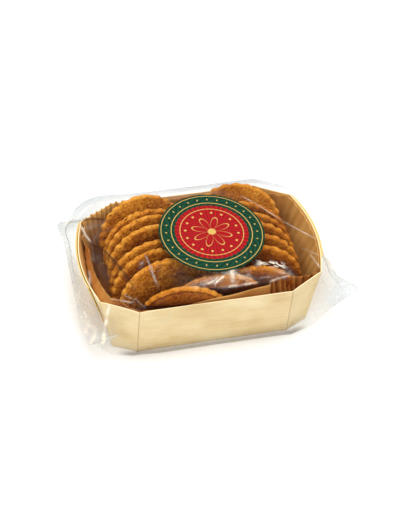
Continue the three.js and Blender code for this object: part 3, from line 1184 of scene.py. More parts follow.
@dataclass
class Liner:
    """The baking paper in the tray: pleated like a cake case at the corners and ends, flat between.

    Names with _x, _y and _level are spans along, across and up the tray.
    """

    shape: TrayShape
    tone: PaperTone = PaperTone()
    columns: tuple[int, int, int] = (280, 90, 170)
    rows: int = 28
    floor_rings: tuple[float, ...] = (0.12, 0.3, 0.5, 0.7, 0.86, 0.96)
    wall: float = 1.0 * MM
    gap: float = 0.75 * MM
    thickness: float = 0.25 * MM
    floor: float = 1.7 * MM
    rise: float = 48.4 * MM
    tip: float = 1.1 * MM
    pleat: float = 2.1 * MM
    flat_pleat: float = 0.3 * MM
    foot_pleat: float = 0.35
    period: float = 5.4 * MM
    broad_period: float = 9.6 * MM
    broad_share: float = 0.6
    pleated_ends: Span = (34 * MM, 60 * MM)
    crumple: float = 1.4 * MM
    crumple_cell: float = 17 * MM
    blotch_cell: float = 16 * MM
    back_rise: float = 3.6 * MM
    back_x: Span = (-20 * MM, -45 * MM)
    back_y: Span = (28 * MM, 46 * MM)
    left_drop: float = 1.2 * MM
    left_x: Span = (-76 * MM, -86 * MM)
    right_rise: float = 0.6 * MM
    right_calm: float = 0.8
    right_x: Span = (70 * MM, 84 * MM)
    right_y: Span = (-50 * MM, -44 * MM)
    flap_lean: float = 5.4 * MM
    flap_first_lean: float = 1.0 * MM
    flap_rise: float = 3.6 * MM
    flap_x: Span = (-30 * MM, 6 * MM)
    flap_lean_x: Span = (4 * MM, 40 * MM)
    flap_end: float = 44 * MM
    corner_lean: float = 10.5 * MM
    corner_lean_x: Span = (44 * MM, 47 * MM)
    corner_rise: float = 3.0 * MM
    corner_x: Span = (42 * MM, 48 * MM)
    corner_front: float = -40 * MM
    corner_end: Span = (84 * MM, 60 * MM)
    peak_x: Span = (74 * MM, 62 * MM)
    left_lean: float = 6.8 * MM
    folded_x: Span = (-64 * MM, -80 * MM)
    folded_y: Span = (30 * MM, 12 * MM)
    folded_level: Span = (0.74, 0.97)
    folded_calm: float = 0.7
    calm_level: Span = (0.55, 0.95)
    lean_level: Span = (0.2, 1.0)
    seed: int = 21

    def build(self) -> None:
        """Builds the paper as one thin sheet."""
        paper = BrownPaper().material()
        thicken(show("paper_liner", self.case(), paper, "brown_paper", "liner"), "paper", self.thickness)

    def lean(self, side: Array, x: Array) -> Array:
        """How far the paper's top leans in: a flat flap at the front, and more at the front right corner.

        Args:
            side: the side that each column is on.
            x: its place along the tray.

        Returns:
            The lean of each column.
        """
        front = (side == Side.FRONT.value) | (side == Side.FRONT_RIGHT.value)
        flap = self.flap_first_lean * smooth(*self.flap_x, x)
        flap = flap + (self.flap_lean - self.flap_first_lean) * smooth(*self.flap_lean_x, x)
        corner = (self.corner_lean - self.flap_lean) * smooth(*self.corner_lean_x, x)
        return (flap + corner) * smooth(*self.corner_end, x) * front

    def zigzag(self, distance: Array, period: float) -> Array:
        """Pleats round the tray from 0 to 1: a zigzag with a whole number of periods in the girth."""
        whole = round(self.shape.girth() / period)
        return triangle_wave(distance / self.shape.girth() * whole)

    def lay_out(self, columns: Columns) -> PaperColumns:
        """Finds what the paper does in each column, by smooth steps of the rim's plan.

        Broad pleats are a cosine of a zigzag of the distance round the rim, and fine ones the zigzag.

        Args:
            columns: the columns.

        Returns:
            What the paper does in them.
        """
        x, y = self.shape.outline(RIM_LEVEL, columns)[0][0].T
        distance, _ = self.shape.run(columns)
        front_right = smooth(*self.corner_x, x) * (y < self.corner_front)
        back_left = smooth(*self.back_x, x) * smooth(*self.back_y, y)
        fine = np.maximum(front_right, back_left)
        ends = smooth(*self.pleated_ends, np.abs(x))
        broad = (1.0 - np.cos(np.pi * self.zigzag(distance, self.broad_period))) / 2.0
        return PaperColumns(
            x, y, front_right, back_left,
            left_end=smooth(*self.left_x, x),
            right_end=smooth(*self.right_x, x) * smooth(*self.right_y, y),
            flap=smooth(*self.flap_x, x) * (x < self.flap_end) * (y < 0),
            folded=smooth(*self.folded_y, y) * smooth(*self.folded_x, x),
            broad=broad,
            pleats=blend(self.broad_share * broad, self.zigzag(distance, self.period), fine),
            depth=blend(self.flat_pleat, self.pleat, np.maximum(ends, fine)),
            lean=self.lean(columns.side, x),
        )

    def tops(self, paper: PaperColumns) -> Array:
        """Heights of the top edge: raised at two corners and the flap, with the pleats' zigzag in it.

        Args:
            paper: what the paper does in each column.

        Returns:
            One height for each column.
        """
        peak = paper.front_right * smooth(*self.peak_x, paper.x)
        raised = self.back_rise * paper.back_left + self.flap_rise * paper.flap + self.corner_rise * peak
        raised = raised + self.right_rise * paper.right_end - self.left_drop * paper.left_end
        zigzag = self.tip * (1.0 + paper.back_left) * (1.0 - paper.pleats) * paper.depth / self.pleat
        return self.rise + raised + zigzag

    def inward(self, paper: PaperColumns, level: Array, wander: Array) -> Array:
        """How far the paper is inside the tray's outside: by a gap, its pleats, its crumples and its lean.

        Towards the top, crumples and pleats fade at the right end and where the left end is folded over.

        Args:
            paper: what the paper does in each column.
            level: the level of each row, as a column.
            wander: the points before they are moved.

        Returns:
            One distance for each point.
        """
        calm = np.maximum(self.right_calm * paper.right_end, self.folded_calm * paper.folded)
        settled = 1.0 - calm * smooth(*self.calm_level, level)
        crumples = self.crumple * unit_noise(wander, self.crumple_cell, self.seed)
        crumples = crumples * paper.depth / self.pleat
        pleats = paper.depth * paper.pleats * blend(self.foot_pleat, 1.0, level)
        leaning = paper.lean * smooth(*self.lean_level, level)
        folded = self.left_lean * paper.folded * smooth(*self.folded_level, level)
        return self.wall + self.gap + (crumples + pleats) * settled + leaning + folded

    def painted_light_and_blotches(self, paper: PaperColumns, level: Array, wander: Array) -> Array:
        """How pale the paper is: blotchy at the ends, with painted light and shade: stripes on the pleats,
        painted light at the top and painted shade deep down.

        Args:
            paper: what the paper does in each column.
            level: the level of each row, as a column.
            wander: the points before they are moved.

        Returns:
            One tone for each point.
        """
        tone = self.tone
        # painted light: paler at the tops of the ends, at the left end most where it faces the front, and
        # on the back left pleats, most at their tops
        facing = blend(tone.left_back, 1.0, smooth(*tone.left_front_y, paper.y))
        lit = np.maximum(paper.right_end, paper.left_end * facing)
        painted_glow = tone.end_top * smooth(*tone.end_level, level) * lit + tone.left_end * paper.left_end
        back_top = smooth(*tone.back_top_z, wander[..., 2])
        painted_glow = painted_glow + paper.back_left * (tone.back + tone.back_top * back_top)
        uneven = unit_noise(wander * [1, 1, 0.3], self.blotch_cell, self.seed + 1)
        blotches = tone.blotch * ((paper.broad - 0.5) * uneven + uneven - 0.5)
        soft = tone.plain + blotches * np.maximum(paper.right_end, paper.left_end)
        fine = np.maximum(paper.front_right, paper.back_left)
        # painted light and shade: light and dark stripes on the fine pleats
        striped = blend(soft, tone.pleat_foot + tone.pleat * paper.pleats, fine)
        # painted shade on the pleats of the front right corner
        corner = paper.front_right * (tone.corner + tone.corner_pleat_shade * paper.pleats)
        # painted shade deep in the gap between the left end and the biscuits
        deep = tone.painted_shade_left * paper.left_end * smooth(*tone.painted_shade_level, level)
        # painted shade under the left end's folded-over top
        folded = tone.folded * paper.folded * smooth(*tone.folded_level, level)
        return striped + tone.flap * paper.flap + corner + painted_glow + deep + folded

    def case(self) -> Grid:
        """The case's inside: rows run from the middle of the floor out and up the wall.

        A wall row is the tray's outline at its level, moved in. The floor is rings of the lowest one,
        drawn together to the middle.

        Returns:
            The sheet, which has no thickness yet.
        """
        columns = self.shape.columns(*self.columns)
        paper = self.lay_out(columns)
        climb = np.linspace(0.0, 1.0, self.rows)
        heights = blend(self.floor, self.tops(paper)[None, :], climb[:, None])
        level = blend(self.floor, self.rise, climb) / self.shape.height
        plan, outward = self.shape.outline(level, columns)
        wander = lifted(plan, heights)
        inward = self.inward(paper, level[:, None], wander)
        walls = lifted(plan - outward * inward[..., None], heights)
        rings = np.array(self.floor_rings)[:, None, None]
        middle = np.array([0, 0, self.floor])
        floor = walls[:1] * np.array([1, 1, 0]) * rings + middle
        points = np.concatenate([floor, walls])[:, ::-1]
        painted_light_and_blotches = self.painted_light_and_blotches(paper, level[:, None], wander)
        # the case's floor takes a painted shade
        tones = np.concatenate([np.full(floor.shape[:2], self.tone.floor), painted_light_and_blotches])[:, ::-1]
        return Grid(points, closed=True, first_pole=middle, marks={"fold": tones})


# Biscuits


@dataclass(frozen=True)
class Bake:
    """How one biscuit came out of the oven, with the light and shade painted on it.

    toast is added to its brownness, centre to that of the face inside the rim as painted shade and rim_line
    to that of the line between face and side, and painted_light_side is painted light taken from that of
    the side. pores and rough scale the pores and the crumb. Under the height dark_below the biscuit lies in
    the dark between its neighbours, which is painted as shade.
    """

    toast: float = 0.0
    pores: float = 1.0
    rough: float = 1.0
    # painted shade: how much browner a face gets from its rim towards its middle, where the next biscuit
    # shades it
    centre: float = 0.3
    dark_below: float = 0.0
    rim_line: float = 0.0
    # painted light: how much paler the side is
    painted_light_side: float = 0.0


@dataclass
class Biscuit:
    """A fluted disc that stands where its CAD node does, with crumb, pores and an uneven edge.

    Sizes without a unit are shares of the radius or of half the thickness.
    """

    node: str
    bake: Bake
    seed: int
    columns: int = 288
    rows: tuple[int, int, int] = (16, 17, 46)
    first_ring: float = 0.08
    last_ring: float = 0.03
    flutes: int = 24
    flute_depth: float = 0.046
    flute_from: Span = (0.5, 1.0)
    flute_shift: float = 0.7
    valley: float = 0.15
    tooth: float = 0.20
    tooth_from: Span = (0.72, 0.95)
    wander: float = 0.022
    shoulder: float = 0.915
    shoulder_width: float = 0.02
    side_middle: float = -0.17
    side_reach: float = 0.83
    crown: float = 0.34
    face_pole: float = 0.97
    scatter: float = 0.37
    swell_depth: float = 0.5 * MM
    swell_cell: float = 13 * MM
    crumb_depth: float = 0.13 * MM
    crumb_cell: float = 1.5 * MM
    crumb_mean: float = 0.6
    pore_depth: float = 0.8 * MM
    pore_limit: float = 0.9 * MM
    pore_cell: float = 4.6 * MM
    pore_size: float = 0.30
    pore_from: float = 0.45
    face_tone: float = 0.50
    under_tone: float = 0.55
    # the sides are paler than the faces, partly as painted light that the sides catch from above
    side_tone: float = 0.27
    # painted shade in the valleys between the flutes
    valley_shade: float = 0.10
    valley_shade_from: Span = (0.7, 0.95)
    # the span of the radius over which the painted shade of a face's middle grows
    centre_shade_from: Span = (0.95, 0.66)
    dark_edge: float = 0.8 * MM
    # painted shade: crumb that sinks deeper is browner
    crumb_hollow_shade: float = 0.32
    blotches: tuple[Pair, ...] = ((12 * MM, 0.16), (5 * MM, 0.10))

    def build(self, crust: Material) -> Array:
        """Builds the biscuit.

        Args:
            crust: its finish.

        Returns:
            Its points, for the film that lies on it.
        """
        grid = self.surface()
        show(self.node + "_baked", grid, crust, "crust", self.node)
        return grid.all_points()

    def stand(self) -> tuple[Array, Array, Array, float]:
        """How the node stands.

        The face's normal is where the node is thinnest, and the axis across is level. The flutes' phase
        is that of the wave of their number in the outline's radius.

        Returns:
            Its middle, its axes across, up and out of the face, its half sizes along them, and the angle
            of its first flute.
        """
        points = node_points(self.node)
        rough = points.mean(axis=0)
        _, axes = np.linalg.eigh(np.cov((points - rough).T))
        out = axes[:, 0] * -np.sign(axes[1, 0])
        across = np.cross(out, [0.0, 0.0, -1.0])
        across /= np.linalg.norm(across)
        frame_axes = np.stack([across, np.cross(out, across), out])
        local = (points - rough) @ frame_axes.T
        low, high = local.min(axis=0), local.max(axis=0)
        middle = rough + ((low + high) / 2.0) @ frame_axes
        half = (high - low) / 2.0
        flat = (local - (low + high) / 2.0)[:, :2] / half[:2]
        radius = np.hypot(*flat.T)
        angle = np.arctan2(flat[:, 1], flat[:, 0])
        edge = radius > 0.9
        wave = np.sum((radius[edge] - radius[edge].mean()) * np.exp(1j * self.flutes * angle[edge]))
        return middle, frame_axes, half, float(np.angle(wave)) / self.flutes

    def profile(self) -> tuple[Array, Array, Array]:
        """The half section, from the middle of the under side out and over the face to its middle.

        The under side is flat, the side is a rounded step, and the face sinks a little to its edge.

        Returns:
            Shares of the radius, shares of half the thickness, and how much each point is side wall.
        """
        under = np.linspace(self.first_ring, self.shoulder, self.rows[0], endpoint=False)
        turn = np.radians(np.linspace(-90, 90, self.rows[1]))
        side = self.shoulder + (1.0 - self.shoulder) * np.abs(np.cos(turn)) ** 0.85
        face = np.linspace(self.shoulder, self.last_ring, self.rows[2])[1:]
        radius = np.concatenate([under, side, face])
        rise = 1.0 - self.crown * (face / self.shoulder) ** 2.5
        step = self.side_middle + self.side_reach * np.sin(turn)
        height = np.concatenate([0 * under - 1.0, step, rise])
        wall = np.concatenate([0 * under, np.cos(turn) ** 0.5, 0 * face])
        return radius[:, None], height[:, None], wall[:, None]

    def surface(self) -> Grid:
        """The biscuit's skin: the section turned round its axis, drawn in between flutes and roughened.

        Between the flutes the edge is drawn in by a sharp-valleyed cosine, less towards the middle. Then
        the skin sinks along its normal by swells, crumb and pores.

        Returns:
            The closed skin, with two marks: its brownness with painted light and shade, and its pores with
                painted shade.
        """
        middle, axes, half, phase = self.stand()
        radius, height, wall = self.profile()
        upper = height > 0
        theta = full_turn(self.columns)
        circle = spread(np.cos(theta), np.sin(theta), 0.0)
        shift = self.flute_shift * noise(circle + self.seed, 0.5, self.seed)
        turn = np.cos((theta - phase) * self.flutes / 2.0 + shift / 2.0)
        lobe = np.sqrt((turn**2 + self.valley) / (1.0 + self.valley))
        depth = self.flute_depth * np.maximum(0.2, 0.8 + 0.8 * noise(circle, 0.35, self.seed + 1))
        drawn = depth * (1.0 - lobe) * smooth(*self.flute_from, radius)
        uneven = self.wander * (0.5 + 0.5 * fractal(circle, 1.0, 2, self.seed + 2)) * radius
        reach = radius - drawn - uneven
        dome = height + self.tooth * (lobe - 1.0) * smooth(*self.tooth_from, radius) * upper
        local = spread(reach * np.cos(theta), reach * np.sin(theta), dome) * half
        swell, crumb, pores = self.relief(local, height)
        local = local - row_normals(local) * (swell + crumb + pores)[..., None]
        points = local @ axes + middle
        toast = self.browning_and_painted_light(local, radius, height, wall, crumb)
        # painted shade in the valleys between the flutes
        toast = toast + self.valley_shade * (1.0 - lobe) * smooth(*self.valley_shade_from, radius)
        # painted shade: below dark_below the skin takes the pores' dark colour
        dark = self.bake.dark_below
        painted_shade_below = smooth(dark + self.dark_edge, dark - self.dark_edge, points[..., 2])
        marks = {"toast": toast, "pore": np.clip(np.maximum(pores / self.pore_depth, painted_shade_below), 0, 1)}
        under, face = (np.array([0, 0, share]) * half @ axes + middle for share in (-1.0, self.face_pole))
        return Grid(points, closed=True, first_pole=under, last_pole=face, marks=marks)

    def relief(self, local: Array, height: Array) -> tuple[Array, Array, Array]:
        """How deep the skin sinks.

        Swells and crumb are coarse and fine noise. Pores are round pits at random spots, each as wide as
        its spot's own number says.

        Args:
            local: the smooth skin's points, along the biscuit's own axes.
            height: their heights as shares of half the thickness.

        Returns:
            The depths of the swells, the crumb and the pores.
        """
        place = local + self.seed * self.scatter
        baked = (height > -0.5).astype(float)
        swell = self.swell_depth * unit_noise(place, self.swell_cell, self.seed + 3) * baked
        grains = self.crumb_mean + 0.5 * fractal(place, self.crumb_cell, 2, self.seed + 4)
        crumb = self.crumb_depth * self.bake.rough * grains
        spot, own = nearest_spot(place, self.pore_cell, self.seed + 9)
        size = self.pore_size * own**2
        pit = smooth(1.0, 0.45, spot / np.maximum(size, 1e-3)) * (own > self.pore_from)
        pores = self.pore_depth * self.bake.pores * pit * baked
        return swell, crumb, np.minimum(pores, self.pore_limit)

    def browning_and_painted_light(self, local: Array, radius: Array, height: Array, wall: Array, crumb: Array) -> Array:
        """How brown the skin is: faces more than sides, partly as painted light; hollows more than crumbs,
        as painted shade; and blotchy, with painted shade towards the face's middle and painted light on the
        side.

        Args:
            local: the skin's points, along the biscuit's own axes.
            radius: their distances from the axis as shares of the radius.
            height: their heights as shares of half the thickness.
            wall: how much of each is side wall.
            crumb: how deep the crumb is.

        Returns:
            The brownness, mostly from 0 to 1.
        """
        place = local + self.seed * self.scatter
        upper = height > 0
        # painted shade: crumb that sinks deeper is browner
        rough = (crumb / self.crumb_depth - self.crumb_mean * self.bake.rough) * self.crumb_hollow_shade
        # the sides are paler than the faces, partly as painted light that the sides catch from above
        toast = blend(np.where(upper, self.face_tone, self.under_tone), self.side_tone, wall)
        for k, (cell, tone) in enumerate(self.blotches):
            toast = toast + tone * noise(place, cell, self.seed + 12 + k)
        toast = np.clip(toast + rough + self.bake.toast, 0.0, 1.0)
        # painted shade towards the face's middle
        toast = toast + self.bake.centre * smooth(*self.centre_shade_from, radius) * upper
        rim = self.bake.rim_line * bump(radius, self.shoulder, self.shoulder_width) * upper
        # painted light on the side
        return toast + rim - self.bake.painted_light_side * wall


@dataclass
class Biscuits:
    """All the biscuits: two leaning rows and a pair across the front."""

    left: Bake = Bake(toast=0.02, rough=1.3)
    right: Bake = Bake(toast=0.18, pores=0.6, rough=0.6)
    baked: dict[str, Bake] = field(
        default_factory=lambda: {
            "biscuit_left_1": Bake(toast=0.02, pores=1.3, rough=1.6, centre=0.04),
            "biscuit_left_4": Bake(toast=0.02, pores=1.2, rough=1.5),
            "biscuit_left_7": Bake(toast=-0.02, pores=1.0, rough=1.7, centre=0.18),
            "biscuit_right_1": Bake(toast=0.02, pores=0.3, rough=0.6, centre=0.0),
            "biscuit_front_1": Bake(0.26, 0.7, 0.7, 0.1, 47 * MM, rim_line=0.5, painted_light_side=0.18),
            "biscuit_front_2": Bake(toast=0.16, pores=0.5, rough=0.9, centre=0.1, dark_below=54.5 * MM),
        }
    )
    first_seed: int = 40
    seed_step: int = 17

    def bake_of(self, node: str) -> Bake:
        """How a node's biscuit is baked: its own way, or that of its row."""
        return self.baked.get(node, self.right if "right" in node else self.left)

    def build(self) -> Array:
        """Builds every biscuit.

        Returns:
            All their points.
        """
        crust = Crust().material()
        nodes = sorted(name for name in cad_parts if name.startswith("biscuit_"))
        seeds = self.first_seed + self.seed_step * np.arange(len(nodes))
        built = [Biscuit(node, self.bake_of(node), int(s)).build(crust) for node, s in zip(nodes, seeds)]
        return np.concatenate(built)


# Sticker


@dataclass
class Sticker:
    """The round sticker on top: a thin disc on a slope that sags a little with the film under it."""

    thickness: float = 0.25 * MM
    sag: float = 0.8 * MM
    sag_turn: float = 0.6
    sag_share: float = 0.75
    rings: int = 28
    first_ring: float = 0.04
    columns: int = 128

    def __post_init__(self) -> None:
        """Reads the disc's middle, radius and slope from the CAD node."""
        points = node_points("label")
        self.middle = (points.min(axis=0) + points.max(axis=0)) / 2.0
        _, axes = np.linalg.eigh(np.cov((points - self.middle).T))
        self.slope = -axes[:2, 0] / axes[2, 0]
        self.radius = float(np.linalg.norm(points - self.middle, axis=1).max())

    def height(self, x: Array, y: Array) -> Array:
        """The top's height: the slope, less a sag with the squared distance, most along one direction.

        Args:
            x: places along the tray.
            y: places across it.

        Returns:
            One height for each place.
        """
        dx, dy = x - self.middle[0], y - self.middle[1]
        along = (dx * math.cos(self.sag_turn) + dy * math.sin(self.sag_turn)) / self.radius
        flat = self.middle[2] + self.slope[0] * dx + self.slope[1] * dy
        return flat - self.sag * blend((dx**2 + dy**2) / self.radius**2, along**2, self.sag_share)

    def build(self) -> None:
        """Builds the disc: rings of its under side and then of its top."""
        print_finish = StickerPrint(tuple(self.middle[:2]), self.radius).material()
        theta = full_turn(self.columns)
        share = np.linspace(self.first_ring, 1.0, self.rings)
        reach = np.concatenate([share, share[::-1]])[:, None] * self.radius
        under = np.concatenate([0 * share + 1.0, 0 * share])[:, None]
        x = self.middle[0] + reach * np.cos(theta)
        y = self.middle[1] + reach * np.sin(theta)
        z = self.height(x, y) - under * self.thickness
        below = self.middle - [0, 0, self.thickness]
        grid = Grid(spread(x, y, z), closed=True, first_pole=below, last_pole=self.middle)
        show("round_sticker", grid, print_finish, "sticker", "label")


# Film bag


class Patch(Enum):
    """Where on the film a crease lies, and the two axes along which its distance is measured."""

    TOP = (0, 1)
    FRONT = (0, 2)


@dataclass(frozen=True)
class Crease:
    """A crease in the film, lifted, with a painted highlight and painted shade along it.

    path runs over a patch, and path, width and lift are in millimetres. shine is how bright the line's
    painted highlight is and shade how dark its painted shade is, and taper is the share of its length over
    which it fades at each end.
    """

    path: tuple[Pair, ...]
    width: float
    lift: float
    shine: float
    taper: float = 0.2
    shade: float = 0.0
    patch: Patch = Patch.TOP

    def mark(self, points: Array) -> Array:
        """How much of the crease each point has: a bell across the path that fades at both ends.

        Args:
            points: the film's points.

        Returns:
            One share from 0 to 1 for each point.
        """
        flat = points[..., list(self.patch.value)] / MM
        path = np.array(self.path)
        lengths = np.linalg.norm(np.diff(path, axis=0), axis=1)
        starts = np.concatenate([[0.0], np.cumsum(lengths)[:-1]]) / lengths.sum()
        best = np.full(flat.shape[:-1], np.inf)
        place = np.zeros(flat.shape[:-1])
        for a, b, length, start in zip(path[:-1], path[1:], lengths, starts):
            share = np.clip(((flat - a) @ (b - a)) / length**2, 0.0, 1.0)
            distance = np.linalg.norm(flat - a - share[..., None] * (b - a), axis=-1)
            place = np.where(distance < best, start + share * length / lengths.sum(), place)
            best = np.minimum(best, distance)
        ends = smooth(-0.02, self.taper, place) * smooth(1.02, 1.0 - self.taper, place)
        return bump(best, 0.0, self.width) * ends


@dataclass(frozen=True)
class Fin:
    """The sealed edge at one end.

    reach and height are those of its middle, ear_back and ear_front how much further out its corners
    reach, and rise how much higher its back corner is than its middle.
    """

    reach: float
    ear_back: float
    ear_front: float
    height: float
    rise: float


@dataclass(frozen=True)
class Gusset:
    """Loose film on the ground beside a corner of the base: its place, how far it lies out, its width."""

    place: Pair
    out: Pair
    width: float

    def near(self, x: Array, y: Array, moved: float = 0.0) -> Array:
        """How near plan points are to the place, once that is moved out by a share: a bell round it."""
        middle = np.array(self.place) + moved * np.array(self.out)
        return bump(x, middle[0], self.width) * bump(y, middle[1], self.width)


@dataclass(frozen=True)
class Glare:
    """A broken reflection on crinkled film.

    It is an oval with a middle, a half length and a half width in millimetres and a turn in degrees. shine
    is its brightness, grain the size of its specks, and even the brightness left between them.
    """

    x: float
    y: float
    length: float
    width: float
    turn: float
    shine: float
    grain: float
    even: float = 0.0

    def mark(self, points: Array, seed: int) -> Array:
        """How bright each point is: a bell over the oval, broken up by stretched noise.

        Args:
            points: the film's points.
            seed: picks the noise.

        Returns:
            One brightness for each point.
        """
        dx, dy = points[..., 0] / MM - self.x, points[..., 1] / MM - self.y
        turn = math.radians(self.turn)
        along = (dx * math.cos(turn) + dy * math.sin(turn)) / self.length
        across = (dy * math.cos(turn) - dx * math.sin(turn)) / self.width
        place = spread(0.5 * dx, 1.2 * dy, 0.0)
        broken = smooth(-0.15, 0.45, fractal(place, self.grain, 2, seed))
        return self.shine * np.exp(-(along**4) - across**2) * blend(self.even, 1.0, broken)


@dataclass(frozen=True)
class Milkiness:
    """How milky the film is: in the fins, at their seals, at the rim where it is loose, and on the ground.

    Pairs are the least and the most of a blotchy veil. Names with _z are spans of heights, with _fin of
    the way out in a fin, and with _reach of that from the sticker's middle to the rim.
    """

    cell: float = 14 * MM
    limit: float = 0.7
    ends: Pair = (0.24, 0.42)
    ends_fin: Span = (0.2, 0.6)
    seal: float = 0.12
    seal_fin: Span = (0.9, 0.97)
    loose: Pair = (0.322, 0.552)
    loose_reach: Span = (0.92, 0.98)
    loose_z: Span = (62 * MM, 58 * MM)
    corner_z: Span = (26 * MM, 38 * MM)
    back_z: Span = (46 * MM, 51 * MM)
    lying: Pair = (0.088, 0.22)
    lying_out: float = 0.8
    lying_z: Span = (20 * MM, 4 * MM)


